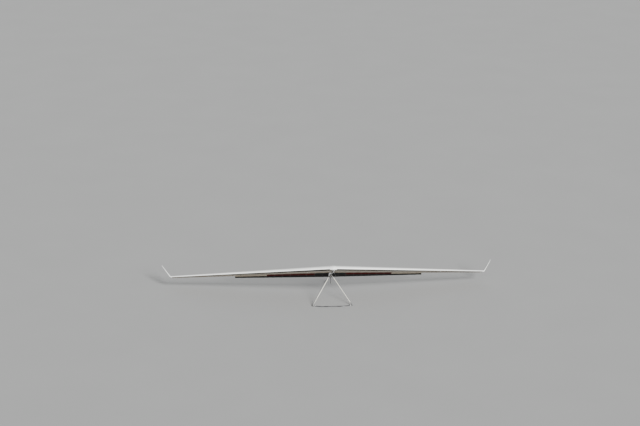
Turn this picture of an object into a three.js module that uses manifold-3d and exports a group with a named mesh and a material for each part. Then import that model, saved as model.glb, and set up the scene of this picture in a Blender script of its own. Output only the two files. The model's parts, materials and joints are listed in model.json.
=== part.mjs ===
// A rigid-wing hang glider: two white D-section spars with a sail behind each, upturned winglets,
// trailing-edge flaps, upper-surface spoilers, and a control frame slung under a keel tube.
// It is parked nose up, on its base bar and the foot of its keel. Millimetres, +Z up, nose to -Y.
//
// Everything is drawn in the flying frame: x is sideways, y runs aft from the nose, z is up from the
// leading edge at the nose. One outer group then pitches the whole glider back onto its keel foot.
import * as THREE from "three";
import { mergeVertices } from "three/addons/utils/BufferGeometryUtils.js";
import Module from "manifold-3d";

const wasm = await Module();
wasm.setup();

const { degToRad } = THREE.MathUtils;
const vec = (x, y, z) => new THREE.Vector3(x, y, z);

const seat = 0.35; // fit between pieces that touch
const running = 0.4; // fit of a ring that turns on the keel tube

// Wing planform and section
const rootGap = 5; // from the centreline to each root face
const tipX = 6500; // the end rib, where the winglet plugs in
const rootChord = 1700;
const tipChord = 560;
const sweep = degToRad(19);
const tipRise = 50; // dihedral, as the height of the tip's leading edge
const camber = 0.03;
const camberPlace = 0.35;
const aftTaper = 0.5; // how much slimmer than a standard section the rear is
const edgeHalf = 1.6; // half the thickness of the trailing edge
const sparShare = 0.3; // the spar takes this share of the chord

// Trailing-edge flaps
const flapStart = 60;
const flapEnd = 3900;
const hingeShare = 0.8;
const flapDown = 25; // degrees, as the photograph shows them
const rod = 4; // hinge rod radius
const lug = { radius: 11, width: 12, hole: 4.6 };
const clear = 5.2; // running clearance of whatever moves

// Spoilers
const spoiler = { from: 4050, to: 5250, aft: 0.46, plate: 5, pocket: 14, rod: 3, behindSpar: 12 };
const smallLug = { radius: 7, width: 10, hole: 3.6 };

// Keel tube and what it carries
const keel = { radius: 24, drop: 108, front: 80, rear: 3290 };
const foot = { radius: 30, length: 50 };
const frontTang = 105;
const rearTang = 3060;
const apex = 1300;
const hangPoint = 1405;

// Control frame, in its own leaning plane
const lean = degToRad(14);
const upright = { topX: 80, topDrop: 78, cornerX: 800, cornerDrop: 1325, chord: 58, thick: 24 };
const bar = { radius: 15, forward: 64, drop: 1385 };
const stay = 2.5; // wire radius
const ferrule = { radius: 5, from: 32, length: 30 }; // the sleeve near each end of a stay
const socket = { proud: 1.6, top: 55, foot: 70 }; // what each end of an upright sits in
const strapRing = { radius: 27.5, width: 16, inset: 22 }; // two on each saddle, round the keel tube

const materials = {
  white: new THREE.MeshStandardMaterial({ color: 0xf2f2ec, roughness: 0.25, metalness: 0 }),
  sail: new THREE.MeshStandardMaterial({ color: 0xe4e4dc, roughness: 0.8, metalness: 0 }),
  flap: new THREE.MeshStandardMaterial({ color: 0x1c1716, roughness: 0.5, metalness: 0 }),
  carbon: new THREE.MeshStandardMaterial({ color: 0x17181a, roughness: 0.35, metalness: 0 }),
  alloy: new THREE.MeshStandardMaterial({ color: 0xb9bbb8, roughness: 0.4, metalness: 1 }),
  upright: new THREE.MeshStandardMaterial({ color: 0xd9dad2, roughness: 0.35, metalness: 0.2 }),
  wire: new THREE.MeshStandardMaterial({ color: 0x8f9294, roughness: 0.35, metalness: 1 }),
  webbing: new THREE.MeshStandardMaterial({ color: 0x202226, roughness: 0.9, metalness: 0 }),
  rubber: new THREE.MeshStandardMaterial({ color: 0x1a1a1a, roughness: 0.85, metalness: 0 }),
};

// Solids: a closed geometry becomes a manifold for cutting and joining, and back
function solid(geometry) {
  const bare = geometry.index ? geometry.toNonIndexed() : geometry.clone();
  for (const name of Object.keys(bare.attributes)) {
    if (name !== "position") bare.deleteAttribute(name);
  }
  const merged = mergeVertices(bare, 1e-4);
  return new wasm.Manifold(
    new wasm.Mesh({
      numProp: 3,
      vertProperties: merged.attributes.position.array,
      triVerts: new Uint32Array(merged.index.array),
    }),
  );
}

function geometryOf(made) {
  const mesh = made.getMesh();
  const geometry = new THREE.BufferGeometry();
  geometry.setAttribute("position", new THREE.BufferAttribute(mesh.vertProperties, 3));
  geometry.setIndex(new THREE.BufferAttribute(mesh.triVerts, 1));
  geometry.computeVertexNormals();
  return geometry;
}

const joined = (...pieces) => pieces.reduce((all, piece) => all.add(piece));

// A closed skin over rings with the same number of points. Each ring runs back along the top,
// round the front and back along the bottom, so its ends close in strips from top to bottom.
function loft(rings) {
  const count = rings[0].length;
  const positions = rings.flat().flatMap((p) => [p.x, p.y, p.z]);
  const faces = [];
  for (let r = 0; r + 1 < rings.length; r += 1) {
    for (let i = 0; i < count; i += 1) {
      const a = r * count + i;
      const b = r * count + ((i + 1) % count);
      faces.push([a, b, b + count], [a, b + count, a + count]);
    }
  }
  const last = (rings.length - 1) * count;
  for (let i = 0; i + 1 <= count - 2 - i; i += 1) {
    const [a, b, c, d] = [i, i + 1, count - 2 - i, count - 1 - i];
    faces.push([a, d, b], [last + a, last + b, last + d]);
    if (b !== c) faces.push([b, d, c], [last + b, last + c, last + d]);
  }
  const geometry = new THREE.BufferGeometry();
  geometry.setAttribute("position", new THREE.Float32BufferAttribute(positions, 3));
  geometry.setIndex(faces.flat());
  const outward = solid(geometry).volume() > 0;
  if (!outward) geometry.setIndex(faces.flatMap(([a, b, c]) => [a, c, b]));
  return geometry;
}

const block = (low, high) => {
  const size = high.clone().sub(low);
  const middle = low.clone().add(high).multiplyScalar(0.5);
  return solid(new THREE.BoxGeometry(size.x, size.y, size.z).translate(...middle.toArray()));
};

// A cylinder along local x, y or z through a point. Radius is to its corners.
const turns = { x: [0, 0, -Math.PI / 2], y: [0, 0, 0], z: [Math.PI / 2, 0, 0] };
function cylinder(axis, centre, radius, length, sides = 16) {
  const made = new THREE.CylinderGeometry(radius, radius, length, sides);
  made.applyMatrix4(new THREE.Matrix4().makeRotationFromEuler(new THREE.Euler(...turns[axis])));
  return solid(made.translate(...centre.toArray()));
}

// A hole that a round rod of the given radius turns in: its flats clear the rod
const bored = (radius, sides = 16) => radius / Math.cos(Math.PI / sides);

// Wing section: height over the chord line, as a share of the chord
const halfThickness = (f, thick) =>
  5 * thick * (0.2969 * Math.sqrt(f) - 0.126 * f - 0.3516 * f ** 2 + 0.2843 * f ** 3 - 0.1036 * f ** 4) *
  (1 - aftTaper * f);
const camberLine = (f) =>
  f < camberPlace
    ? (camber * (2 * camberPlace * f - f ** 2)) / camberPlace ** 2
    : (camber * (1 - 2 * camberPlace + 2 * camberPlace * f - f ** 2)) / (1 - camberPlace) ** 2;

// One point of a section. side is 1 on the top skin and -1 on the bottom skin; proud lifts it off.
function skinPoint(station, f, side, proud = 0) {
  const half = f > 0 ? Math.max(station.chord * halfThickness(f, station.thick), edgeHalf) : 0;
  const nose = proud * Math.max(0, 1 - f / 0.03);
  const along = f * station.chord - nose;
  const up = camberLine(f) * station.chord + side * (half + proud * Math.min(1, f / 0.03));
  const [cos, sin] = [Math.cos(station.twist), Math.sin(station.twist)];
  const lift = along * sin + up * cos;
  return vec(
    station.x - lift * Math.sin(station.cant),
    station.lead + along * cos - up * sin,
    station.rise + lift * Math.cos(station.cant),
  );
}

// The ring of one section between two chord shares
function ring(station, shares, proud = 0) {
  const top = [...shares].reverse().map((f) => skinPoint(station, f, 1, proud));
  const from = shares[0] === 0 ? 1 : 0;
  const bottom = shares.slice(from).map((f) => skinPoint(station, f, -1, proud));
  return [...top, ...bottom];
}

// Where the wing's straight stretches meet: section thickness and washout
const wingTable = [
  { x: rootGap, thick: 0.155, twist: 0 },
  { x: flapEnd, thick: 0.145, twist: 1.2 },
  { x: 5300, thick: 0.14, twist: 1.6 },
  { x: tipX, thick: 0.135, twist: 2.2 },
];
function station({ x, thick, twist }) {
  const out = Math.abs(x) / tipX;
  return {
    x,
    lead: Math.abs(x) * Math.tan(sweep),
    rise: out * tipRise,
    chord: rootChord + (tipChord - rootChord) * out,
    thick,
    twist: degToRad(twist),
    cant: 0,
  };
}
const wing = wingTable.map(station);
const [rootStation, flapStation] = wing;

const sparShares = [0, 0.005, 0.018, 0.042, 0.08, 0.135, 0.21, sparShare];
const rearShares = [sparShare, 0.42, 0.55, 0.68, hingeShare, 0.9, 1];
const wholeShares = [...sparShares, ...rearShares.slice(1)];

// A point of the wing's skin at any x on the straight stretch between two table stations
function onPanel(inner, outer, x, f, side) {
  const t = (x - inner.x) / (outer.x - inner.x);
  return skinPoint(inner, f, side).lerp(skinPoint(outer, f, side), t);
}

// A frame on a straight hinge: x along it, y aft, z up
function hingeFrame(start, end) {
  const along = end.clone().sub(start).normalize();
  const aft = vec(0, 0, 1).cross(along).normalize();
  const up = along.clone().cross(aft);
  return new THREE.Matrix4().makeBasis(along, aft, up).setPosition(start);
}
const moved = (made, matrix) => made.transform(matrix.toArray());

// One hinge lug: an eye on the hinge line, with a tab reaching forward to what carries it
function hingeLug(size, at, reach) {
  const eye = cylinder("x", vec(at, 0, 0), size.radius, size.width);
  const half = size.radius * 0.7;
  const tab = block(vec(at - size.width / 2, -reach, -half), vec(at + size.width / 2, 0, half));
  return eye.add(tab).subtract(cylinder("x", vec(at, 0, 0), bored(size.hole), size.width * 2));
}

// Trailing-edge flap hinge: just inside the bottom skin
const hingeLift = 3;
const hingeAt = (place) => skinPoint(place, hingeShare, -1).add(vec(0, 0, hingeLift));
const hingeStart = hingeAt(rootStation);
const flapHinge = hingeFrame(hingeStart, hingeAt(flapStation));
const flapHingeLength = hingeAt(flapStation).distanceTo(hingeStart);
const lugPlaces = [0.06, 0.35, 0.65, 0.94].map((share) => share * flapHingeLength);
const railFront = -18;
const railRear = -10;
const flapNose = -3.5;

// A tall prism under the wing that follows the flap hinge, between two distances aft of it
function besideHinge(from, to, xFrom, xTo) {
  const tall = 300;
  const rings = [xFrom, xTo].map((x) => {
    const t = (x - rootStation.x) / (flapStation.x - rootStation.x);
    const hinge = hingeAt(rootStation).lerp(hingeAt(flapStation), t);
    return [
      vec(x, hinge.y + to, tall),
      vec(x, hinge.y + from, tall),
      vec(x, hinge.y + from, -tall),
      vec(x, hinge.y + to, -tall),
    ];
  });
  return solid(loft(rings));
}

const rearPanel = solid(loft(wing.map((place) => ring(place, rearShares))));

// Spoiler: a plate let into the top skin just behind the spar, hinged on the spar's rear web
const spoilerEnds = [spoiler.from, spoiler.to];
const [, inner, outer] = wing;
const spoilerHingePoint = (x) =>
  onPanel(inner, outer, x, sparShare, 1).add(vec(0, spoiler.behindSpar, -spoiler.plate / 2));
const spoilerHinge = hingeFrame(...spoilerEnds.map(spoilerHingePoint));
const spoilerLength = spoilerHingePoint(spoiler.to).distanceTo(spoilerHingePoint(spoiler.from));
const smallLugPlaces = [0.08, 0.5, 0.92].map((share) => share * spoilerLength);

// The plate's outline below the top skin, grown by a margin: rings of top and bottom points
function spoilerPrism(front, margin, depth, rise) {
  const shares = [spoiler.aft, 0.39, sparShare];
  const rings = spoilerEnds.map((end, i) => {
    const x = end + (i ? margin : -margin);
    const top = shares.map((f, k) => {
      const aft = k === 0 ? margin : k === 2 ? front : 0;
      return onPanel(inner, outer, x, f, 1).add(vec(0, aft, rise));
    });
    const bottom = [...top].reverse().map((p) => p.clone().add(vec(0, 0, -depth - rise)));
    return [...top, ...bottom];
  });
  return solid(loft(rings));
}

function makeSpar() {
  const skin = solid(loft(wing.map((place) => ring(place, sparShares))));
  const lugs = smallLugPlaces.map((at) => moved(hingeLug(smallLug, at, spoiler.behindSpar + 4), spoilerHinge));
  return joined(skin, ...lugs);
}

function makeSail() {
  const behindSpar = rearPanel.translate(0, seat, 0);
  const bay = besideHinge(railFront - seat, 600, rootGap - 20, flapEnd + 6);
  const pocket = spoilerPrism(-seat - 1, clear + 1, spoiler.pocket, 20);
  return behindSpar.subtract(bay).subtract(pocket);
}

// The rail that closes the sail ahead of the flap and carries the flap's hinge lugs
function makeRail() {
  const strip = rearPanel.intersect(besideHinge(railFront, railRear, 40, flapEnd - 10));
  const lugs = lugPlaces.map((at) => moved(hingeLug(lug, at, -railRear + 4), flapHinge));
  return joined(strip, ...lugs);
}

function makeFlap() {
  const blade = rearPanel.intersect(besideHinge(flapNose, 600, flapStart, flapEnd - 6));
  const notches = lugPlaces.map((at) =>
    moved(cylinder("x", vec(at, 0, 0), bored(lug.radius + clear), lug.width + 2 * clear), flapHinge),
  );
  const long = flapHingeLength - flapStart - 4;
  const hingeRod = moved(cylinder("x", vec(flapStart + long / 2 - 2, 0, 0), rod, long, 10), flapHinge);
  const notched = notches.reduce((made, notch) => made.subtract(notch), blade);
  return moved(notched.add(hingeRod), flapHinge.clone().invert());
}

function makeSpoiler() {
  const plate = spoilerPrism(spoiler.behindSpar - 2, 0, spoiler.plate, 0);
  const notches = smallLugPlaces.map((at) =>
    moved(cylinder("x", vec(at, 0, 0), bored(smallLug.radius + clear), smallLug.width + 2 * clear), spoilerHinge),
  );
  const hingeRod = moved(cylinder("x", vec(spoilerLength / 2, 0, 0), spoiler.rod, spoilerLength, 10), spoilerHinge);
  const notched = notches.reduce((made, notch) => made.subtract(notch), plate);
  return moved(notched.add(hingeRod), spoilerHinge.clone().invert());
}

// Winglet: a short elbow off the end rib, then a swept blade that stands up and out
const wingletTable = [
  { x: tipX + seat, aft: 0, rise: tipRise, chord: tipChord, thick: 0.135, twist: 2.2, cant: 0 },
  { x: tipX + 44, aft: 18, rise: tipRise + 4, chord: 536, thick: 0.135, twist: 2, cant: 16 },
  { x: tipX + 78, aft: 40, rise: tipRise + 26, chord: 502, thick: 0.13, twist: 1.5, cant: 38 },
  { x: tipX + 104, aft: 64, rise: tipRise + 62, chord: 468, thick: 0.12, twist: 0.7, cant: 54 },
  { x: tipX + 404, aft: 318, rise: tipRise + 506, chord: 250, thick: 0.1, twist: 0, cant: 56 },
  { x: tipX + 418, aft: 348, rise: tipRise + 528, chord: 205, thick: 0.08, twist: 0, cant: 56 },
  { x: tipX + 424, aft: 373, rise: tipRise + 537, chord: 150, thick: 0.05, twist: 0, cant: 56 },
];
function makeWinglet() {
  const places = wingletTable.map((row) => ({
    ...row,
    lead: tipX * Math.tan(sweep) + row.aft,
    twist: degToRad(row.twist),
    cant: degToRad(row.cant),
  }));
  const shares = [0, 0.012, 0.05, 0.13, 0.26, 0.45, 0.7, 1];
  return solid(loft(places.map((place) => ring(place, shares))));
}

// Both roots in one run of sections across the centreline, for what fits over or under them
function centreStation(x) {
  const [first, second] = wingTable;
  const t = (Math.abs(x) - first.x) / (second.x - first.x);
  const { lerp } = THREE.MathUtils;
  return station({ x, thick: lerp(first.thick, second.thick, t), twist: lerp(first.twist, second.twist, t) });
}
const centreBlock = (half, proud) =>
  solid(loft([-half, 0, half].map((x) => ring(centreStation(x), wholeShares, proud))));

function makeNoseCone() {
  const half = 150;
  const shell = centreBlock(half, 7).subtract(centreBlock(half + 20, seat * 2));
  const kept = block(vec(-half, -40, -120), vec(half, 250, 200));
  const under = block(vec(-half - 1, 82, -200), vec(half + 1, 300, 0));
  return shell.intersect(kept).subtract(under);
}

function makeCentreCover() {
  const half = 75;
  const raised = centreBlock(half + 20, 0).translate(0, 0, 3.4);
  const sheet = raised.subtract(centreBlock(half + 40, 0).translate(0, 0, seat));
  const last = hingeStart.y + railFront - 6;
  return sheet.intersect(block(vec(-half, 254, 20), vec(half, last, 300)));
}

const keelZ = -keel.drop;

// A ring round the keel tube
function makeRing(at, width, radius, gap = running) {
  const body = cylinder("y", vec(0, at, keelZ), radius, width);
  return body.subtract(cylinder("y", vec(0, at, keelZ), bored(keel.radius + gap), width * 2));
}

// A saddle between the keel tube and the undersides of both spars, strapped to the tube
function makeSaddle(from, to) {
  const low = keelZ + keel.radius + seat;
  const body = block(vec(-45, from, low), vec(45, to, 0));
  const places = [from + strapRing.inset, to - strapRing.inset];
  const straps = places.map((at) => makeRing(at, strapRing.width, strapRing.radius, seat));
  return joined(body.subtract(centreBlock(80, 0).translate(0, 0, -seat)), ...straps);
}

function makeKeel() {
  const long = keel.rear - keel.front;
  return cylinder("y", vec(0, keel.front + long / 2, keelZ), keel.radius, long);
}

function makeFoot() {
  const { radius, length } = foot;
  const profile = [
    [0, 0],
    [radius, 0],
    [radius, 0.4 * length],
    [0.8 * radius, 0.76 * length],
    [0.4 * radius, 0.94 * length],
    [0, length],
  ].map(([r, along]) => new THREE.Vector2(r, along));
  return new THREE.LatheGeometry(profile, 16).translate(0, keel.rear + seat, keelZ);
}

// A tang: a ring that turns on the keel tube, with an ear under it, which the two stays run to
function makeTang(at, width) {
  const ear = block(vec(-8, at - width / 2, keelZ - 52), vec(8, at + width / 2, keelZ - 30));
  return makeRing(at, width, 32).add(ear);
}

// Hang clamp: a ring fixed on the keel tube, with two ears and the bolt that the strap hangs on
const hangBolt = { drop: 50, radius: 6 };
const hangZ = keelZ - hangBolt.drop;
function makeHangClamp() {
  const ears = [-1, 1].map((side) => {
    const [near, far] = [side * 28, side * 36].sort((a, b) => a - b);
    return block(vec(near, hangPoint - 13, hangZ - 12), vec(far, hangPoint + 13, keelZ));
  });
  const bolt = cylinder("x", vec(0, hangPoint, hangZ), hangBolt.radius, 84);
  return joined(makeRing(hangPoint, 26, 34, seat), ...ears, bolt);
}

// Hang strap: webbing in a long loop round the bolt, drawn hanging from its own origin
const strap = { length: 300, width: 40, webbing: 4, innerRadius: 6.6 };
function makeStrap() {
  const outline = (radius, shape) => {
    shape.absarc(0, 0, radius, 0, Math.PI, false);
    shape.absarc(0, -strap.length, radius, Math.PI, 2 * Math.PI, false);
    shape.closePath();
    return shape;
  };
  const shape = outline(strap.innerRadius + strap.webbing, new THREE.Shape());
  shape.holes.push(outline(strap.innerRadius, new THREE.Path()));
  const made = new THREE.ExtrudeGeometry(shape, { depth: strap.width, bevelEnabled: false, curveSegments: 10 });
  // The outline's x becomes the flying frame's y, its y stays up, and the depth runs sideways.
  const matrix = new THREE.Matrix4().makeBasis(vec(0, 1, 0), vec(0, 0, 1), vec(1, 0, 0));
  return made.applyMatrix4(matrix).translate(-strap.width / 2, 0, 0);
}

// Control frame, drawn in its leaning plane: x sideways, z up along the frame, origin on the keel
const cornerDirection = vec(
  upright.cornerX - upright.topX,
  0,
  upright.topDrop - upright.cornerDrop,
).normalize();
const acrossUpright = vec(-cornerDirection.z, 0, cornerDirection.x);
const uprightTop = vec(upright.topX, 0, -upright.topDrop);
const corner = vec(upright.cornerX, 0, -upright.cornerDrop);
const cornerTab = 60; // from the corner up to the foot of the upright

// A flat plate in the frame's plane from an outline of points
function plate(points, thick) {
  const shape = new THREE.Shape(points.map((p) => new THREE.Vector2(p.x, p.z)));
  const made = new THREE.ExtrudeGeometry(shape, { depth: thick, bevelEnabled: false });
  made.rotateX(Math.PI / 2);
  return solid(made.translate(0, thick / 2, 0));
}

// A straight bar of an elliptical section from one point to another, its long side fore and aft
function fairedBar(start, end, chord, thick) {
  const shape = new THREE.Shape();
  shape.absellipse(0, 0, thick / 2, chord / 2, 0, 2 * Math.PI);
  const made = new THREE.ExtrudeGeometry(shape, {
    depth: end.distanceTo(start),
    bevelEnabled: false,
    curveSegments: 7,
  });
  const along = end.clone().sub(start).normalize();
  const aft = vec(0, 1, 0);
  const side = aft.clone().cross(along);
  made.applyMatrix4(new THREE.Matrix4().makeBasis(side, aft, along).setPosition(start));
  return solid(made);
}

function makeYoke() {
  const half = 30;
  const outerEdge = uprightTop.clone().addScaledVector(acrossUpright, half);
  const innerEdge = uprightTop.clone().addScaledVector(acrossUpright, -half);
  const right = [vec(40, 0, -20), outerEdge, innerEdge];
  const left = right.map((p) => vec(-p.x, 0, p.z)).reverse();
  const arms = plate([...right, vec(0, 0, -80), ...left], 34);
  const collar = cylinder("y", vec(0, 0, 0), 36, 56);
  // The collar turns on the keel tube, which the frame leans across.
  const tube = cylinder("y", vec(0, 0, 0), bored(keel.radius + running), 400);
  const level = new THREE.Matrix4().makeRotationX(lean);
  return moved(collar, level).add(arms).subtract(moved(tube, level));
}

function makeUpright() {
  const top = uprightTop.clone().addScaledVector(cornerDirection, seat);
  const end = corner.clone().addScaledVector(cornerDirection, -cornerTab - seat);
  const sockets = [
    [top, top.clone().addScaledVector(cornerDirection, socket.top)],
    [end.clone().addScaledVector(cornerDirection, -socket.foot), end],
  ].map(([from, to]) => fairedBar(from, to, upright.chord + 2 * socket.proud, upright.thick + 2 * socket.proud));
  return joined(fairedBar(top, end, upright.chord, upright.thick), ...sockets);
}

const barEnd = { x: upright.cornerX - 46, drop: upright.cornerDrop - 2 };
function makeCorner() {
  const head = corner.clone().addScaledVector(cornerDirection, -cornerTab);
  const outline = [
    head.clone().addScaledVector(acrossUpright, 24),
    head.clone().addScaledVector(acrossUpright, -24),
    vec(barEnd.x, 0, -barEnd.drop + 22),
    vec(barEnd.x, 0, -barEnd.drop - 20),
    vec(upright.cornerX - 8, 0, -upright.cornerDrop - 24),
    vec(upright.cornerX + 20, 0, -upright.cornerDrop - 12),
    vec(upright.cornerX + 27, 0, -upright.cornerDrop + 14),
  ];
  return plate(outline, 30);
}

function makeBar() {
  // sideways, forward, drop: the bar bends forward and down from its ends to its middle
  const half = [
    [barEnd.x - seat, 0, barEnd.drop],
    [barEnd.x - 39, 6, barEnd.drop + 6],
    [600, 34, bar.drop - 30],
    [460, 58, bar.drop - 6],
    [214, bar.forward, bar.drop],
  ].map(([x, forward, drop]) => vec(x, -forward, -drop));
  const other = half.map((p) => vec(-p.x, p.y, p.z)).reverse();
  const path = new THREE.CatmullRomCurve3([...half, ...other], false, "centripetal");
  const section = new THREE.Shape().absarc(0, 0, bar.radius, 0, 2 * Math.PI, false);
  const swept = new THREE.ExtrudeGeometry(section, { steps: 28, extrudePath: path, curveSegments: 12 });
  const ends = block(vec(-barEnd.x + seat, -300, -2000), vec(barEnd.x - seat, 300, 0));
  return solid(swept).intersect(ends);
}

// A stay from the corner to a tang, cut off just clear of both, with a ferrule near each end
const frameMatrix = new THREE.Matrix4().makeRotationX(-lean).setPosition(0, apex, keelZ);
const toFrame = frameMatrix.clone().invert();
const stayPoint = corner.clone().add(vec(4, 0, 6));
function makeStay(tangAt, tang) {
  const high = vec(0, tangAt, keelZ - 41).applyMatrix4(toFrame);
  const along = high.clone().sub(stayPoint).normalize();
  const long = high.distanceTo(stayPoint);
  const wire = cylinder("y", vec(0, long / 2, 0), stay, long, 8);
  const middle = ferrule.from + ferrule.length / 2;
  const ferrules = [middle, long - middle].map((at) =>
    cylinder("y", vec(0, at, 0), ferrule.radius, ferrule.length, 12),
  );
  const turn = new THREE.Quaternion().setFromUnitVectors(vec(0, 1, 0), along);
  const matrix = new THREE.Matrix4().makeRotationFromQuaternion(turn).setPosition(stayPoint);
  const placed = moved(joined(wire, ...ferrules), matrix);
  const offCorner = along.clone().multiplyScalar(2 * seat);
  const offTang = along.clone().multiplyScalar(-2 * seat);
  return placed
    .subtract(makeCorner().translate(offCorner.toArray()))
    .subtract(moved(tang, toFrame).translate(offTang.toArray()));
}

// Assembly
const flying = new THREE.Group();
const left = new THREE.Group();
const right = new THREE.Group();
right.scale.x = -1;
flying.add(left, right);

function mesh(name, shape, material) {
  const geometry = shape.isBufferGeometry ? shape : geometryOf(shape);
  const made = new THREE.Mesh(geometry, materials[material]);
  made.name = name;
  return made;
}

// The same piece on both sides, the right one as the left one's mirror image
function pair(name, shape, material, place = (made) => made) {
  const geometry = shape.isBufferGeometry ? shape : geometryOf(shape);
  left.add(place(mesh(`${name}_left`, geometry, material)));
  right.add(place(mesh(`${name}_right`, geometry, material)));
}

pair("spar", makeSpar(), "white");
pair("sail", makeSail(), "sail");
pair("flap_rail", makeRail(), "carbon");
pair("winglet", makeWinglet(), "white");

// What turns sits in a group whose x axis is its hinge
function hinged(made, hinge, turn) {
  const pivot = new THREE.Group();
  pivot.name = `${made.name}_hinge`;
  pivot.applyMatrix4(hinge);
  made.rotation.x = turn;
  pivot.add(made);
  return pivot;
}
pair("spoiler", makeSpoiler(), "white", (made) => hinged(made, spoilerHinge, 0));
pair("flap", makeFlap(), "flap", (made) => hinged(made, flapHinge, -degToRad(flapDown)));

const tangs = { front: makeTang(frontTang, 24), rear: makeTang(rearTang, 24) };
flying.add(
  mesh("nose_cone", makeNoseCone(), "white"),
  mesh("centre_cover", makeCentreCover(), "sail"),
  mesh("keel_tube", makeKeel(), "carbon"),
  mesh("keel_foot", makeFoot(), "rubber"),
  mesh("nose_saddle", makeSaddle(130, 230), "alloy"),
  mesh("spar_saddle", makeSaddle(410, 500), "alloy"),
  mesh("hang_clamp", makeHangClamp(), "alloy"),
  mesh("front_tang", tangs.front, "alloy"),
  mesh("rear_tang", tangs.rear, "alloy"),
);

// The control frame's leaning plane, with its left and right halves
const leaning = new THREE.Group();
leaning.name = "control_frame";
leaning.applyMatrix4(frameMatrix);
const mirrored = new THREE.Group();
mirrored.scale.x = -1;
leaning.add(mirrored);
flying.add(leaning);
leaning.add(mesh("yoke", makeYoke(), "alloy"), mesh("base_bar", makeBar(), "carbon"));
const frameHalves = [
  ["upright", makeUpright(), "upright"],
  ["corner", makeCorner(), "alloy"],
  ["front_stay", makeStay(frontTang, tangs.front), "wire"],
  ["rear_stay", makeStay(rearTang, tangs.rear), "wire"],
];
for (const [name, shape, material] of frameHalves) {
  const geometry = shape.isBufferGeometry ? shape : geometryOf(shape);
  leaning.add(mesh(`${name}_left`, geometry, material));
  mirrored.add(mesh(`${name}_right`, geometry, material));
}

// Parked: pitched back until the control frame's corners and the keel foot stand on one floor.
// The line between their lowest points gives the pitch, and a few rounds settle which points those are.
flying.updateMatrixWorld(true);
const corners = flying.getObjectByName("corner_left");
const keelFoot = flying.getObjectByName("keel_foot");
function lowestPoint(piece, turned) {
  const places = piece.geometry.attributes.position;
  const points = Array.from({ length: places.count }, (unused, i) =>
    vec(0, 0, 0).fromBufferAttribute(places, i).applyMatrix4(piece.matrixWorld),
  );
  const height = (p) => p.z * Math.cos(turned) - p.y * Math.sin(turned);
  return points.reduce((low, p) => (height(p) < height(low) ? p : low));
}
let pitch = 0;
for (let round = 0; round < 6; round += 1) {
  const stance = lowestPoint(keelFoot, pitch).sub(lowestPoint(corners, pitch));
  pitch = Math.atan2(stance.z, stance.y);
}

// The strap hangs plumb, whatever the pitch
const hanging = new THREE.Group();
hanging.name = "hang_strap_hinge";
hanging.position.set(0, hangPoint, hangZ);
hanging.rotation.x = pitch;
hanging.add(mesh("hang_strap", makeStrap(), "webbing"));
flying.add(hanging);

const glider = new THREE.Group();
flying.rotation.x = -pitch;
glider.add(flying);
glider.updateMatrixWorld(true);
const extent = new THREE.Box3().setFromObject(glider, true);
flying.position.set(0, -(extent.min.y + extent.max.y) / 2, -extent.min.z);

export default glider;
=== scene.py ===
# Looks of a rigid-wing hang glider that stands nose up on its control frame and keel foot.
# Shapes are drawn in the flying frame, in metres: x to the glider's left, y aft from the nose, z up.
import json
import math

import bmesh
import bpy
from mathutils import Matrix, Vector


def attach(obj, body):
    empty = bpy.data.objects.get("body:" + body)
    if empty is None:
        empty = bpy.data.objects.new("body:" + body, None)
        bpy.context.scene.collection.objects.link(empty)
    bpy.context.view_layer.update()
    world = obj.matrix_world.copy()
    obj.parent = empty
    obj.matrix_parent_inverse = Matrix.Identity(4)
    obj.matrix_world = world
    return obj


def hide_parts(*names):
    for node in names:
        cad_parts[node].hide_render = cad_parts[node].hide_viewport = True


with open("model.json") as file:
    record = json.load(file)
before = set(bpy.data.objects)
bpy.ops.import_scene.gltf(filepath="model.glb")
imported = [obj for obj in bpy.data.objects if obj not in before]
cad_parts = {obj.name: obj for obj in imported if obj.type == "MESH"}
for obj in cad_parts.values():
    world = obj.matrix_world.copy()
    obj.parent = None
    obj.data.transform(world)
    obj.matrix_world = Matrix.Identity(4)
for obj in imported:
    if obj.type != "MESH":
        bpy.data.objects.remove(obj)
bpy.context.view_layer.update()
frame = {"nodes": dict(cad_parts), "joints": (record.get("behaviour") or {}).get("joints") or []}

joints = {row["name"]: row for row in frame["joints"]}

# Where the main things lie in the flying frame
keel = {"radius": 0.024, "drop": 0.108, "front": 0.080, "rear": 3.290}
apexAft = 1.300  # the yoke, on the keel tube's axis
frontTangAft = 0.105
rearTangAft = 3.060
hangAft = 1.405
frameLean = math.radians(14)
tangPinDrop = 0.041  # from the tube's axis to the pin that both stays hook on
seat = 0.00035  # fit between pieces that touch
running = 0.0004  # fit of a ring that turns on the keel tube

# The joint of the control frame tells how far back the parked glider is pitched
keelLine = Vector(joints["frame_tilt"]["axis"])
pitch = math.atan2(-keelLine.z, keelLine.y)
pitched = Matrix.Rotation(-pitch, 4, "X")
apexInWorld = Vector(joints["frame_tilt"]["pos_m"])
flying = Matrix.Translation(apexInWorld - pitched @ Vector((0, apexAft, -keel["drop"]))) @ pitched
leaning = flying @ Matrix.Translation((0, apexAft, -keel["drop"])) @ Matrix.Rotation(-frameLean, 4, "X")


# A placing matrix from three axes and an origin
def placed(x, y, z, origin):
    made = Matrix((x, y, z)).transposed().to_4x4()
    made.translation = Vector(origin)
    return made


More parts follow.
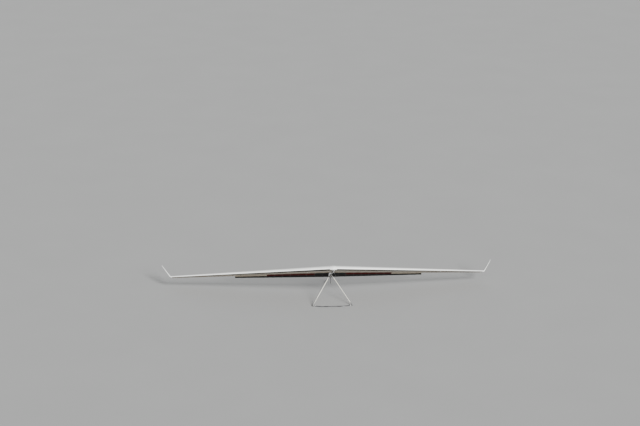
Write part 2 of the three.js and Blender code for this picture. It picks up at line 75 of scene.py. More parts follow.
# Camera, where the photograph was taken from as seen from the glider
def makeCamera():
    view = {"aim": (0, 1.0, -0.3), "distance": 60.0, "azimuth": -4.908, "elevation": -9.321, "roll": -1.661,
            "aside": -0.4726, "above": 2.6816, "lens": 82.82, "sensor": 36.0}
    azimuth, elevation, roll = (math.radians(view[key]) for key in ("azimuth", "elevation", "roll"))
    back = Vector((math.sin(azimuth) * math.cos(elevation), -math.cos(azimuth) * math.cos(elevation),
                   math.sin(elevation)))
    level = Vector((math.cos(azimuth), math.sin(azimuth), 0))
    upright = back.cross(level)
    right = math.cos(roll) * level + math.sin(roll) * upright
    up = math.cos(roll) * upright - math.sin(roll) * level
    turned = pitched.to_3x3()
    right, up, back = turned @ right, turned @ up, turned @ back
    eye = flying @ Vector(view["aim"])
    eye += view["distance"] * back + view["aside"] * right + view["above"] * up
    data = bpy.data.cameras.new("camera")
    data.lens = view["lens"]
    data.sensor_width = view["sensor"]
    data.clip_end = 1000
    camera = bpy.data.objects.new("camera", data)
    camera.matrix_world = placed(right, up, back, eye)
    bpy.context.scene.collection.objects.link(camera)
    bpy.context.scene.camera = camera


makeCamera()
print("camera placed")


# Node helpers for the materials
def addNode(made, kind, **inputs):
    node = made.node_tree.nodes.new("ShaderNode" + kind)
    for name, value in inputs.items():
        socket = node.inputs[int(name[1:])] if name[0] == "_" else node.inputs[name]
        if isinstance(value, bpy.types.NodeSocket):
            made.node_tree.links.new(value, socket)
        else:
            socket.default_value = value
    return node


def mathNode(made, operation, first, second=0.0):
    node = addNode(made, "Math", _0=first, _1=second)
    node.operation = operation
    return node.outputs[0]


def coordinates(made, scale=(1, 1, 1), kind="Object"):
    source = addNode(made, "TexCoord").outputs[kind]
    return addNode(made, "Mapping", Vector=source, Scale=scale).outputs[0]


def noise(made, scale, detail=3.0, stretch=(1, 1, 1), kind="Object"):
    where = coordinates(made, stretch, kind)
    return addNode(made, "TexNoise", Vector=where, Scale=scale, Detail=detail).outputs["Fac"]


def shaded(made, share, stops):
    node = addNode(made, "ValToRGB", Fac=share)
    ramp = node.color_ramp
    while len(ramp.elements) < len(stops):
        ramp.elements.new(0.5)
    for element, (place, colour) in zip(ramp.elements, stops):
        element.position = place
        element.color = (*colour, 1)
    return node.outputs["Color"]


def between(made, share, low, high):
    return addNode(made, "MapRange", Value=share, _3=low, _4=high).outputs[0]


def blended(made, share, first, second):
    node = addNode(made, "Mix")
    node.data_type = "RGBA"
    for socket, value in ((node.inputs[0], share), (node.inputs[6], first), (node.inputs[7], second)):
        if isinstance(value, bpy.types.NodeSocket):
            made.node_tree.links.new(value, socket)
        else:
            socket.default_value = value if isinstance(value, float) else (*value, 1)
    return node.outputs[2]


def plug(made, name, output):
    made.node_tree.links.new(output, made.node_tree.nodes["Principled BSDF"].inputs[name])


def bump(made, height, depth, strength=1.0):
    node = addNode(made, "Bump", Height=height, Distance=depth, Strength=strength)
    plug(made, "Normal", node.outputs[0])


def newFinish(name, colour, rough, metal=0.0, **others):
    made = bpy.data.materials.new(name)
    made.use_nodes = True
    inputs = made.node_tree.nodes["Principled BSDF"].inputs
    inputs["Base Color"].default_value = (*colour, 1)
    inputs["Roughness"].default_value = rough
    inputs["Metallic"].default_value = metal
    for key, value in others.items():
        inputs[key.replace("_", " ")].default_value = value
    made.diffuse_color = (*colour, 1)
    return made


def times(colour, factor):
    return tuple(min(1.0, part * factor) for part in colour)


# A colour that runs from a darker to a lighter tone of itself
def tones(made, share, colour, dark, light, low=0.3, high=0.7):
    return shaded(made, share, ((low, times(colour, dark)), (high, times(colour, light))))


# Metres across and along a piece's own cloth coordinates
def clothPlace(made, scale=1.0):
    return addNode(made, "SeparateXYZ", Vector=coordinates(made, (scale, scale, 1), "UV")).outputs


# A sine or cosine that repeats at a distance
def wave(made, kind, place, every):
    return mathNode(made, kind, mathNode(made, "MULTIPLY", place, 2 * math.pi / every))


# Distance of a place from a line
def offLine(made, place, line):
    return mathNode(made, "ABSOLUTE", mathNode(made, "SUBTRACT", place, line))


# A height and a share of another one
def sumOf(made, height, other, share):
    return mathNode(made, "ADD", height, mathNode(made, "MULTIPLY", other, share))


# Painted composite: nearly even, with faint clouds, a soft waviness and dust
def paintedSkin(name, colour, rough=0.25):
    made = newFinish(name, colour, rough, Coat_Weight=0.35, Coat_Roughness=0.12)
    dust = noise(made, 210, 4, (1, 0.5, 1))
    mixed = sumOf(made, mathNode(made, "MULTIPLY", noise(made, 1.3, 4), 0.85), dust, 0.15)
    plug(made, "Base Color", tones(made, mixed, colour, 0.93, 1.02, 0.32, 0.62))
    plug(made, "Roughness", between(made, dust, rough * 0.85, rough * 1.3))
    bump(made, noise(made, 9, 2), 0.0005, 0.4)
    return made


# Sailcloth: a plain weave with a coarser ripstop grid, drawn on the cloth's own length and width
def sailcloth(name, colour, rough=0.62, gloss=0.3):
    made = newFinish(name, colour, rough, Specular_IOR_Level=gloss)
    place = clothPlace(made)[:2]
    weave = mathNode(made, "MULTIPLY", *(wave(made, "SINE", line, 0.0016) for line in place))
    grid = [mathNode(made, "GREATER_THAN", wave(made, "COSINE", line, 0.012), 0.93) for line in place]
    ripstop = mathNode(made, "MAXIMUM", *grid)
    creases = noise(made, 5, 5, (0.5, 2.2, 1), "UV")
    bump(made, sumOf(made, creases, sumOf(made, ripstop, weave, 0.3), 0.05), 0.004, 0.35)
    cloudy = tones(made, noise(made, 2.2, 5), colour, 0.86, 1.08)
    lines = mathNode(made, "MULTIPLY", ripstop, 0.22)
    plug(made, "Base Color", blended(made, lines, cloudy, times(colour, 0.7)))
    plug(made, "Roughness", between(made, creases, rough - 0.08, rough + 0.1))
    return made


# Sewn tape: the cloth's weave with two lines of zigzag thread along it
def sewnTape(name, colour, thread):
    width, zig = 0.026, 0.002
    made = newFinish(name, colour, 0.7, Sheen_Weight=0.04)
    place = clothPlace(made)
    zigzag = mathNode(made, "PINGPONG", place[1], zig)
    lines = []
    for line in (0.16, 0.84):
        offset = mathNode(made, "SUBTRACT", place[0], line * width - zig / 2)
        lines.append(mathNode(made, "LESS_THAN", offLine(made, offset, zigzag), 0.0007))
    stitched = mathNode(made, "MAXIMUM", *lines)
    cloth = tones(made, noise(made, 6, 4), colour, 0.85, 1.1)
    plug(made, "Base Color", blended(made, stitched, cloth, thread))
    bump(made, sumOf(made, stitched, noise(made, 900, 2), 0.4), 0.0004)
    return made


# Carbon laminate: a 2/2 twill under clear resin
def carbonTwill(name, rough=0.3, tow=0.0028):
    made = newFinish(name, (0.03, 0.03, 0.032), rough, Coat_Weight=0.6, Coat_Roughness=0.1)
    steps = [mathNode(made, "FLOOR", line) for line in clothPlace(made, 1 / tow)[:2]]
    warp = mathNode(made, "LESS_THAN", mathNode(made, "WRAP", mathNode(made, "ADD", *steps), 4.0), 2.0)
    grain = noise(made, 1.4 / tow, 2, (1, 0.1, 1), "UV")
    dark = shaded(made, grain, ((0.3, (0.012, 0.012, 0.014)), (0.7, (0.03, 0.03, 0.033))))
    light = shaded(made, grain, ((0.3, (0.035, 0.036, 0.04)), (0.7, (0.065, 0.066, 0.072))))
    plug(made, "Base Color", blended(made, warp, dark, light))
    plug(made, "Roughness", between(made, warp, rough * 0.8, rough * 1.25))
    bump(made, warp, 0.0002, 0.4)
    return made


# Machined and anodised alloy: fine tool lines, rubbed patches
def anodised(name, colour, rough=0.35):
    made = newFinish(name, colour, rough, 0.85)
    rubbed = noise(made, 14, 5)
    plug(made, "Base Color", tones(made, rubbed, colour, 0.85, 1.18, 0.35, 0.68))
    plug(made, "Roughness", between(made, rubbed, rough * 0.75, rough * 1.35))
    bump(made, noise(made, 420, 2, (1, 0.04, 1)), 0.00012, 0.5)
    return made


def steel(name, colour=(0.55, 0.56, 0.57), rough=0.3):
    made = newFinish(name, colour, rough, 1.0)
    smudge = noise(made, 60, 4)
    plug(made, "Base Color", tones(made, smudge, colour, 0.75, 1.1))
    plug(made, "Roughness", between(made, smudge, rough * 0.7, rough * 1.6))
    bump(made, noise(made, 700, 2), 0.00006, 0.5)
    return made


def moulded(name, colour, rough=0.6, grain=600):
    made = newFinish(name, colour, rough)
    worn = noise(made, 30, 5)
    plug(made, "Base Color", tones(made, worn, colour, 0.8, 1.6, 0.35, 0.75))
    plug(made, "Roughness", between(made, worn, rough - 0.08, rough + 0.12))
    bump(made, noise(made, grain, 3), 0.0003, 0.5)
    return made


# Woven webbing: ribs across the band with a lighter marker thread near each edge
def wovenBand(name, colour, marker):
    width = 0.040
    made = newFinish(name, colour, 0.85, Sheen_Weight=0.35)
    place = clothPlace(made)
    across = wave(made, "SINE", place[0], 0.0022)
    line = offLine(made, offLine(made, place[0], width / 2), width * 0.36)
    cloth = tones(made, between(made, across, 0.3, 0.7), colour, 0.7, 1.5)
    plug(made, "Base Color", blended(made, mathNode(made, "LESS_THAN", line, 0.0009), cloth, marker))
    bump(made, sumOf(made, across, wave(made, "SINE", place[1], 0.0030), 0.6), 0.0004, 0.7)
    return made


def twistedCord(name, colour, fleck):
    made = newFinish(name, colour, 0.75, Sheen_Weight=0.3)
    place = clothPlace(made)
    turn = sumOf(made, mathNode(made, "MULTIPLY", place[0], 400), place[1], 2 * math.pi / 0.006)
    strands = mathNode(made, "SINE", turn)
    plug(made, "Base Color", blended(made, mathNode(made, "GREATER_THAN", strands, 0.6), colour, fleck))
    bump(made, strands, 0.0004, 0.6)
    return made


# A film or tape with no shine
def mattFilm(name, colour):
    made = newFinish(name, colour, 0.8, Specular_IOR_Level=0.12)
    plug(made, "Base Color", tones(made, noise(made, 7, 5), colour, 0.8, 1.2))
    bump(made, noise(made, 300, 3), 0.0002, 0.4)
    return made


def floorFinish(name, colour):
    made = newFinish(name, colour, 0.9)
    plug(made, "Base Color", tones(made, noise(made, 0.35, 4), colour, 0.985, 1.015))
    return made


finishes = {
    "gelCoat": paintedSkin("gel coat white", (0.86, 0.86, 0.83)),
    # The lower skin is white; its stone grey is painted shade
    "lowerSkinPaintedShade": paintedSkin("lower skin white with painted shade", (0.42, 0.37, 0.295), 0.4),
    # A dark band just under the nose, between the white and the stone grey
    "darkNoseBand": mattFilm("dark band under the nose", (0.014, 0.013, 0.012)),
    "upperSail": sailcloth("sailcloth white", (0.80, 0.80, 0.76)),
    # White underside cloth darkened to stone grey: painted shade
    "underSailPaintedShade": sailcloth("white sailcloth with painted shade", (0.42, 0.365, 0.285), 0.7, 0.12),
    "flapCloth": sailcloth("flap cloth black", (0.0065, 0.006, 0.006), 0.6, 0.16),
    "flapUpper": sailcloth("flap laminate black", (0.013, 0.0125, 0.0125), 0.46, 0.45),
    "flapCrimson": sailcloth("flap cloth crimson", (0.06, 0.004, 0.003), 0.7, 0.08),
    "whiteTape": sewnTape("sewn tape white", (0.74, 0.74, 0.70), (0.62, 0.62, 0.58)),
    # White tape darkened to stone grey for the underside: painted shade
    "underTapePaintedShade": sewnTape("white sewn tape with painted shade", (0.385, 0.33, 0.255), (0.31, 0.27, 0.215)),
    "crimsonTape": sewnTape("sewn tape crimson", (0.05, 0.004, 0.003), (0.09, 0.02, 0.02)),
    "darkTape": sewnTape("sewn tape dark", (0.010, 0.009, 0.009), (0.05, 0.05, 0.05)),
    "carbon": carbonTwill("carbon twill"),
    "satinCarbon": carbonTwill("carbon twill satin", 0.42, 0.0024),
    "alloy": anodised("alloy clear anodised", (0.60, 0.60, 0.58)),
    "darkAlloy": anodised("alloy grey anodised", (0.10, 0.098, 0.09), 0.45),
    "tubePaint": paintedSkin("upright paint warm white", (0.86, 0.84, 0.74), 0.3),
    "steel": steel("stainless steel"),
    "cable": steel("stranded steel cable", (0.42, 0.43, 0.44), 0.38),
    "rubber": moulded("moulded rubber", (0.022, 0.022, 0.022), 0.8, 300),
    "nylon": moulded("black nylon", (0.025, 0.025, 0.027), 0.5),
    "webbing": wovenBand("woven webbing", (0.022, 0.023, 0.027), (0.35, 0.34, 0.30)),
    "cordCover": twistedCord("braided cord", (0.16, 0.16, 0.17), (0.05, 0.05, 0.05)),
    "floor": floorFinish("studio floor", (0.29, 0.29, 0.285)),
}
print("finishes ready")


# The distance run at each point of a path
def runOf(points):
    made = [0.0]
    for before, after in zip(points, points[1:]):
        made.append(made[-1] + (after - before).length)
    return made


# A piece before it becomes an object: points, faces, each face's finish and its cloth coordinates
class Shape:
    def __init__(self):
        self.points = []
        self.faces = []
        self.finishOf = []
        self.corners = []

    def addFace(self, indices, finish=0, corners=None):
        self.faces.append(tuple(indices))
        self.finishOf.append(finish)
        self.corners.append(corners or [(self.points[i].x, self.points[i].y) for i in indices])

    # Rows of points become a skin. closed joins each row's last point to its first.
    def addGrid(self, rows, finish=0, closed=False):
        first = len(self.points)
        count = len(rows[0])
        rows = [[Vector(p) for p in row] for row in rows]
        along = runOf([row[0] for row in rows])
        across = [runOf(row + row[:1] if closed else row) for row in rows]
        for row in rows:
            self.points += row
        for r in range(len(rows) - 1):
            for c in range(count if closed else count - 1):
                a, b = (first + r * count + k % count for k in (c, c + 1))
                corners = [(across[r][c], along[r]), (across[r][c + 1], along[r]),
                           (across[r + 1][c + 1], along[r + 1]), (across[r + 1][c], along[r + 1])]
                here = finish(r, c) if callable(finish) else finish
                self.addFace((a, b, b + count, a + count), here, corners)
        return first, count

    # Closed rings become a tube with both ends capped
    def addRings(self, rings, finish=0, capFinish=None):
        first, count = self.addGrid(rings, finish, closed=True)
        end = finish if capFinish is None else capFinish
        self.addFace(range(first + count - 1, first - 1, -1), end)
        last = first + (len(rings) - 1) * count
        self.addFace(range(last, last + count), end)
        return self

    def add(self, other, matrix=None):
        first = len(self.points)
        self.points += [matrix @ p if matrix else p for p in other.points]
        self.faces += [tuple(first + i for i in face) for face in other.faces]
        self.finishOf += other.finishOf
        self.corners += other.corners
        return self

    def moved(self, matrix):
        return Shape().add(self, matrix)


# A shape becomes an object on a CAD body. mirrored makes the right-hand copy of a left-hand piece.
def emit(name, shape, body, slot, materials, place=None, mirrored=False, replaces=(), isOpen=False, sharp=32):
    place = (place or flying) @ Matrix.Diagonal((-1 if mirrored else 1, 1, 1, 1))
    mesh = bpy.data.meshes.new(name)
    mesh.from_pydata([place @ p for p in shape.points], [], shape.faces)
    layer = mesh.uv_layers.new(name="cloth")
    layer.uv.foreach_set("vector", [part for corners in shape.corners for pair in corners for part in pair])
    for material in materials:
        mesh.materials.append(finishes[material])
    mesh.polygons.foreach_set("material_index", shape.finishOf)
    made = bmesh.new()
    made.from_mesh(mesh)
    bmesh.ops.remove_doubles(made, verts=made.verts, dist=2e-6)
    if not isOpen:
        bmesh.ops.recalc_face_normals(made, faces=made.faces)
    elif mirrored:
        bmesh.ops.reverse_faces(made, faces=made.faces)
    made.to_mesh(mesh)
    made.free()
    mesh.polygons.foreach_set("use_smooth", [True] * len(mesh.polygons))
    mesh.set_sharp_from_angle(angle=math.radians(sharp))
    piece = bpy.data.objects.new(name, mesh)
    bpy.context.scene.collection.objects.link(piece)
    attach(piece, body)
    if replaces:
        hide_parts(*replaces)
    return piece


# The same piece on both sides. {side} in a name, body or node becomes left and right.
def emitPair(name, shape, body, slot, materials, replaces=(), **others):
    pieces = []
    for side in ("left", "right"):
        nodes = [node.format(side=side) for node in replaces]
        pieces.append(emit(name.format(side=side), shape, body.format(side=side), slot, materials,
                           mirrored=side == "right", replaces=nodes, **others))
    return pieces


# A matrix whose z axis points along a direction, at a place
def aimed(place, direction):
    z = Vector(direction).normalized()
    hint = Vector((0, 1, 0)) if abs(z.z) > 0.98 else Vector((0, 0, 1))
    x = hint.cross(z).normalized()
    return placed(x, z.cross(x), z, place)


def circle(radius, height, sides):
    turns = [2 * math.pi * i / sides for i in range(sides)]
    return [Vector((radius * math.cos(turn), radius * math.sin(turn), height)) for turn in turns]


# A turned piece: (radius, height) pairs along z, capped where it ends
def turnedShape(profile, sides=24, finish=0):
    return Shape().addRings([circle(radius, height, sides) for radius, height in profile], finish)


# A pipe wall: the outer profile, then the inner radius back to the start
def ringShape(outer, inner, width, chamfer=0.0015, sides=40, finish=0):
    half = width / 2
    eased = chamfer * 0.6
    profile = [(inner, -half + eased), (inner + eased, -half), (outer - chamfer, -half),
               (outer, -half + chamfer), (outer, half - chamfer), (outer - chamfer, half),
               (inner + eased, half), (inner, half - eased)]
    made = Shape()
    rows = [circle(radius, height, sides) for radius, height in profile + profile[:1]]
    made.addGrid(rows, finish, closed=True)
    return made


# Each corner of an outline with its two neighbours
def cornersOf(outline):
    count = len(outline)
    return [tuple(Vector(outline[(i + k) % count]) for k in (-1, 0, 1)) for i in range(count)]


def insetOutline(outline, distance):
    area = sum(here.x * after.y - after.x * here.y for before, here, after in cornersOf(outline))
    turn = 1 if area > 0 else -1
    made = []
    for before, here, after in cornersOf(outline):
        edges = (here - before).normalized(), (after - here).normalized()
        first, second = (Vector((-edge.y, edge.x)) * turn for edge in edges)
        mitre = (first + second).normalized()
        made.append(here + mitre * distance / max(0.3, mitre.dot(first)))
    return made


def roundedOutline(outline, radius, steps=5):
    made = []
    for before, here, after in cornersOf(outline):
        reach = min(radius, 0.45 * (before - here).length, 0.45 * (after - here).length)
        start = here + (before - here).normalized() * reach
        end = here + (after - here).normalized() * reach
        for t in spread(0, 1, steps):
            made.append((1 - t) ** 2 * start + 2 * t * (1 - t) * here + t ** 2 * end)
    return made


def box2d(width, height):
    return [(a * width / 2, b * height / 2) for a, b in ((-1, -1), (1, -1), (1, 1), (-1, 1))]


# A plate from an outline, its edges chamfered, its middle plane at z = 0
def plateShape(outline, thick, chamfer=0.0012, finish=0):
    inner = insetOutline(outline, chamfer)
    half = thick / 2
    levels = (inner, -half), (outline, -half + chamfer), (outline, half - chamfer), (inner, half)
    rings = [[Vector((p[0], p[1], height)) for p in points] for points, height in levels]
    return Shape().addRings(rings, finish)


def hexShape(across, height, finish=0):
    radius = across / math.sqrt(3)
    return turnedShape([(radius, 0), (radius, height * 0.82), (radius * 0.86, height)], 6, finish)


# A socket-head screw standing on the plane z = 0
def screwShape(radius, height, finish=0):
    bevel = radius * 0.18
    profile = [(radius, 0), (radius, height - bevel), (radius - bevel, height), (radius * 0.52, height),
               (radius * 0.5, height * 0.45), (radius * 0.12, height * 0.4)]
    return turnedShape(profile, 16, finish)


# A hexagon bolt through a grip along z, with washers, a nut and the bolt's own end
def boltShape(radius, grip, finish=0):
    r, washer = radius, 0.0016
    head = Matrix.Translation((0, 0, grip / 2))
    nut = Matrix.Translation((0, 0, -grip / 2)) @ Matrix.Rotation(math.pi, 4, "X")
    onWasher = Matrix.Translation((0, 0, washer))
    pastNut = nut @ Matrix.Translation((0, 0, washer + r * 1.5))
    rim = [(r * 2.1, 0), (r * 2.2, washer / 4), (r * 2.2, washer * 0.75), (r * 2.1, washer)]
    disc = turnedShape(rim, 24, finish)
    boss = turnedShape([(r * 1.45, 0), (r * 1.35, r * 0.5), (r * 1.05, r * 0.6)], 18, finish)
    made = Shape()
    for piece, place in ((disc, head), (disc, nut), (hexShape(r * 3.3, r * 1.25, finish), head @ onWasher),
                         (hexShape(r * 3.3, r * 1.5, finish), nut @ onWasher),
                         (boss, pastNut),
                         (turnedShape([(r, 0), (r, r * 0.9), (r * 0.8, r * 1.1)], 14, finish), pastNut)):
        made.add(piece, place)
    return made


# A centripetal curve through points
def smoothPath(points, steps):
    points = [Vector(p) for p in points]
    first = points[0] * 2 - points[1]
    last = points[-1] * 2 - points[-2]
    run = [first, *points, last]
    made = []
    for i in range(1, len(run) - 2):
        a, b, c, d = run[i - 1:i + 3]
        t0, t1, t2 = (max(1e-9, (q - p).length ** 0.5) for p, q in ((a, b), (b, c), (c, d)))
        startSlope = ((b - a) / t0 - (c - a) / (t0 + t1) + (c - b) / t1) * t1
        endSlope = ((c - b) / t1 - (d - b) / (t1 + t2) + (d - c) / t2) * t1
        for step in range(steps):
            s = step / steps
            made.append(b * (2 * s ** 3 - 3 * s ** 2 + 1) + startSlope * (s ** 3 - 2 * s ** 2 + s)
                        + c * (3 * s ** 2 - 2 * s ** 3) + endSlope * (s ** 3 - s ** 2))
    made.append(points[-1])
    return made


# Frames carried along a path without twisting: (place, side, other side) at each point
def pathFrames(path):
    run = [path[0], *path, path[-1]]
    tangents = [(after - before).normalized() for before, after in zip(run, run[2:])]
    side = Vector((0, 0, 1)).cross(tangents[0])
    if side.length < 1e-3:
        side = Vector((0, 1, 0)).cross(tangents[0])
    frames = []
    for point, tangent in zip(path, tangents):
        side = (side - tangent * side.dot(tangent)).normalized()
        frames.append((point, side, tangent.cross(side)))
    return frames


# A tube swept along a path. radius may be a number or a function of the share along it.
def tubeShape(path, radius, sides=12, finish=0, lobes=0, twist=0.0, groove=0.0):
    rings = []
    for i, ((point, side, other), run) in enumerate(zip(pathFrames(path), runOf(path))):
        here = radius(i / (len(path) - 1)) if callable(radius) else radius
        ring = []
        for k in range(sides):
            turn = 2 * math.pi * k / sides
            reach = here * (1 - groove * (0.5 - 0.5 * math.cos(lobes * turn)))
            turn += twist * run
            ring.append(point + (side * math.cos(turn) + other * math.sin(turn)) * reach)
        rings.append(ring)
    return Shape().addRings(rings, finish)


# A flat band swept along a path, lying across the given direction
def bandShape(path, across, width, thick, finish=0, closed=False):
    across = Vector(across).normalized()
    rings = []
    a, b, edge = width / 2, thick / 2, thick * 0.35
    half = (a, -b + edge), (a, b - edge), (a - edge, b)
    section = [(-a, -b + edge), (-a + edge, -b), (a - edge, -b), *half, (-a + edge, b), (-a, b - edge)]
    for i, point in enumerate(path):
        before = path[i - 1] if closed or i else path[0]
        after = path[(i + 1) % len(path)] if closed or i + 1 < len(path) else path[-1]
        normal = across.cross((after - before).normalized()).normalized()
        rings.append([point + across * x + normal * y for x, y in section])
    if not closed:
        return Shape().addRings(rings, finish)
    made = Shape()
    made.addGrid([*rings, rings[0]], finish, closed=True)
    return made


# The wing's planform and section, as in the construction
wing = {"rootGap": 0.005, "tipX": 6.5, "rootChord": 1.700, "tipChord": 0.560, "sweep": math.radians(19),
        "tipRise": 0.050, "camber": 0.03, "camberPlace": 0.35, "aftTaper": 0.5, "edgeHalf": 0.0016,
        "sparShare": 0.3, "ribPitch": 0.325,
        "stations": ((0.005, 0.155, 0.0), (3.9, 0.145, 1.2), (5.3, 0.14, 1.6), (6.5, 0.135, 2.2))}
flapPlan = {"start": 0.060, "end": 3.900, "hingeShare": 0.8, "hingeLift": 0.003, "down": math.radians(25),
            "railFront": -0.018, "nose": -0.0035, "rod": 0.004, "lugWidth": 0.012, "lugRadius": 0.011,
            "lugs": (0.06, 0.35, 0.65, 0.94), "clear": 0.0052}
spoilerPlan = {"start": 4.050, "end": 5.250, "aft": 0.46, "plate": 0.005, "pocket": 0.014, "rod": 0.003,
               "behindSpar": 0.012, "lugWidth": 0.010, "lugRadius": 0.007, "lugs": (0.08, 0.5, 0.92),
               "clear": 0.0052}


def halfThickness(share, thick):
    return 5 * thick * (0.2969 * math.sqrt(share) - 0.126 * share - 0.3516 * share ** 2
                        + 0.2843 * share ** 3 - 0.1036 * share ** 4) * (1 - wing["aftTaper"] * share)


def camberLine(share):
    camber, place = wing["camber"], wing["camberPlace"]
    if share < place:
        return camber * (2 * place * share - share ** 2) / place ** 2
    return camber * (1 - 2 * place + 2 * place * share - share ** 2) / (1 - place) ** 2


# side is 1 on the top skin and -1 on the bottom skin; proud lifts the point off the skin
def skinPoint(station, share, side, proud=0.0):
    chord = station["chord"]
    half = max(chord * halfThickness(share, station["thick"]), wing["edgeHalf"]) if share > 0 else 0.0
    nose = proud * max(0.0, 1 - share / 0.03)
    along = share * chord - nose
    up = camberLine(share) * chord + side * (half + proud * min(1.0, share / 0.03))
    cosine, sine = math.cos(station["twist"]), math.sin(station["twist"])
    lift = along * sine + up * cosine
    return Vector((station["x"] - lift * math.sin(station["cant"]),
                   station["lead"] + along * cosine - up * sine,
                   station["rise"] + lift * math.cos(station["cant"])))


def chordAt(x):
    return wing["rootChord"] + (wing["tipChord"] - wing["rootChord"]) * abs(x) / wing["tipX"]


def stationAt(x, thick, twist):
    return {"x": x, "lead": abs(x) * math.tan(wing["sweep"]), "rise": abs(x) / wing["tipX"] * wing["tipRise"],
            "chord": chordAt(x), "thick": thick, "twist": math.radians(twist), "cant": 0.0}


stations = [stationAt(*row) for row in wing["stations"]]


# A point of the wing's skin at any x: straight lines run between the table's sections
def onWing(x, share, side, proud=0.0):
    panel = 0
    while panel < len(stations) - 2 and x > stations[panel + 1]["x"]:
        panel += 1
    inner, outer = stations[panel:panel + 2]
    t = (x - inner["x"]) / (outer["x"] - inner["x"])
    return skinPoint(inner, share, side, proud).lerp(skinPoint(outer, share, side, proud), t)


# A frame on the skin: x outboard, y aft, z out of the surface
def onSkin(x, share, side, proud=0.0):
    outboard = (onWing(x + 0.01, share, side) - onWing(x - 0.01, share, side)).normalized()
    aft = (onWing(x, share + 0.005, side) - onWing(x, share - 0.005, side)).normalized()
    normal = outboard.cross(aft).normalized() * side
    return placed(outboard, normal.cross(outboard), normal, onWing(x, share, side, proud))


def spread(start, end, count):
    return [start + (end - start) * i / count for i in range(count + 1)]


def smoothstep(low, high, value):
    t = min(1.0, max(0.0, (value - low) / (high - low)))
    return t * t * (3 - 2 * t)


# A section's run from the rear edge over the nose and back below: (share, side)
def roundNose(shares):
    return [(share, 1) for share in reversed(shares)] + [(share, -1) for share in shares[1:]]


def hingeFrame(start, end):
    along = (end - start).normalized()
    aft = Vector((0, 0, 1)).cross(along).normalized()
    return placed(along, aft, along.cross(aft), start)


def flapHingePoint(x):
    return onWing(x, flapPlan["hingeShare"], -1) + Vector((0, 0, flapPlan["hingeLift"]))


def spoilerHingePoint(x):
    return onWing(x, wing["sparShare"], 1) + Vector((0, spoilerPlan["behindSpar"], -spoilerPlan["plate"] / 2))


flapHinge = hingeFrame(flapHingePoint(wing["rootGap"]), flapHingePoint(flapPlan["end"]))
flapHingeLength = (flapHingePoint(flapPlan["end"]) - flapHingePoint(wing["rootGap"])).length
spoilerHinge = hingeFrame(spoilerHingePoint(spoilerPlan["start"]), spoilerHingePoint(spoilerPlan["end"]))
spoilerLength = (spoilerHingePoint(spoilerPlan["end"]) - spoilerHingePoint(spoilerPlan["start"])).length


# Spans of x that a panel is cut back over, to clear the lugs on its hinge
def notchSpans(plan, hinge, length, start):
    half = plan["lugWidth"] / 2 + plan["clear"]
    toX = hinge.col[0].x
    places = [share * length for share in plan["lugs"]]
    return [(start + (place - half) * toX, start + (place + half) * toX) for place in places]


def inNotch(x, notches):
    return any(low < x < high for low, high in notches)


# A panel's stations with both sides of each notch's ends: (x, whether it is cut back there)
def notchedStops(xs, notches):
    stops = [(x, inNotch(x, notches)) for x in xs]
    for low, high in notches:
        stops += [(low, False), (low, True), (high, True), (high, False)]
    starts = [low for low, high in notches]

    def order(stop):
        return stop[0], stop[1] == any(abs(stop[0] - low) < 1e-9 for low in starts)

    return sorted(stops, key=order)


# Spars: the moulded nose of each wing half, white above, with a dark band under the nose and, behind it, the
# white skin darkened to stone grey as painted shade
def makeSpars():
    look = {"bays": 52, "noseRows": 20, "stripFrom": 0.003, "stripTo": 0.072, "hatches": (0.95, 2.55, 4.62),
            "hatch": (0.150, 0.085), "hatchShare": 0.17, "hatchCorner": 0.042, "gasket": 0.0024,
            "screw": 0.0035, "screwRing": (0.064, 0.033)}
    shares = [wing["sparShare"] * (i / look["noseRows"]) ** 1.8 for i in range(look["noseRows"] + 1)]
    shares = sorted({*shares, look["stripFrom"], look["stripTo"]})
    xs = sorted({*spread(wing["rootGap"], wing["tipX"], look["bays"]), *(row[0] for row in wing["stations"])})
    top = len(shares)

    # White over the top, round the nose and on the rear wall, then the dark band, then the stone grey painted
    # shade
    def finish(r, c):
        if c < top - 1 or c == 2 * top - 2 or shares[c - top + 1] < look["stripFrom"]:
            return 0
        return 2 if shares[c - top + 1] < look["stripTo"] else 1

    spar = Shape()
    rings = [[onWing(x, share, side) for share, side in roundNose(shares)] for x in xs]
    spar.addRings(rings, finish, capFinish=3)
    reach = spoilerPlan["behindSpar"] + 0.003
    eye = hingeLug(spoilerPlan["lugRadius"], spoilerPlan["lugWidth"], 0.0036, reach, 4)
    for share in spoilerPlan["lugs"]:
        spar.add(eye, spoilerHinge @ Matrix.Translation((share * spoilerLength, 0, 0)))
    emitPair("spar_skin_{side}", spar, "airframe", "spar_white",
             ("gelCoat", "lowerSkinPaintedShade", "darkNoseBand", "carbon", "alloy"), replaces=["spar_{side}"])

    # The hatch covers take the same stone grey painted shade as the lower skin
    hatches = Shape()
    outline = roundedOutline(box2d(*look["hatch"]), look["hatchCorner"], 8)
    gasket = insetOutline(outline, -look["gasket"])
    for x in look["hatches"]:
        place = onSkin(x, look["hatchShare"], -1)
        hatches.add(plateShape(outline, 0.003, 0.0008, 0), place @ Matrix.Translation((0, 0, 0.0004)))
        hatches.add(plateShape(gasket, 0.0016, 0.0004, 2), place @ Matrix.Translation((0, 0, 0.0003)))
        for i in range(8):
            turn = 2 * math.pi * (i + 0.5) / 8
            across, along = look["screwRing"]
            at = Vector((across * math.cos(turn), along * math.sin(turn), 0.0018))
            hatches.add(screwShape(look["screw"], 0.0016, 1), place @ Matrix.Translation(at))
    emitPair("spar_hatches_{side}", hatches, "airframe", "spar_white", ("lowerSkinPaintedShade", "steel", "nylon"))
    print("spars made")


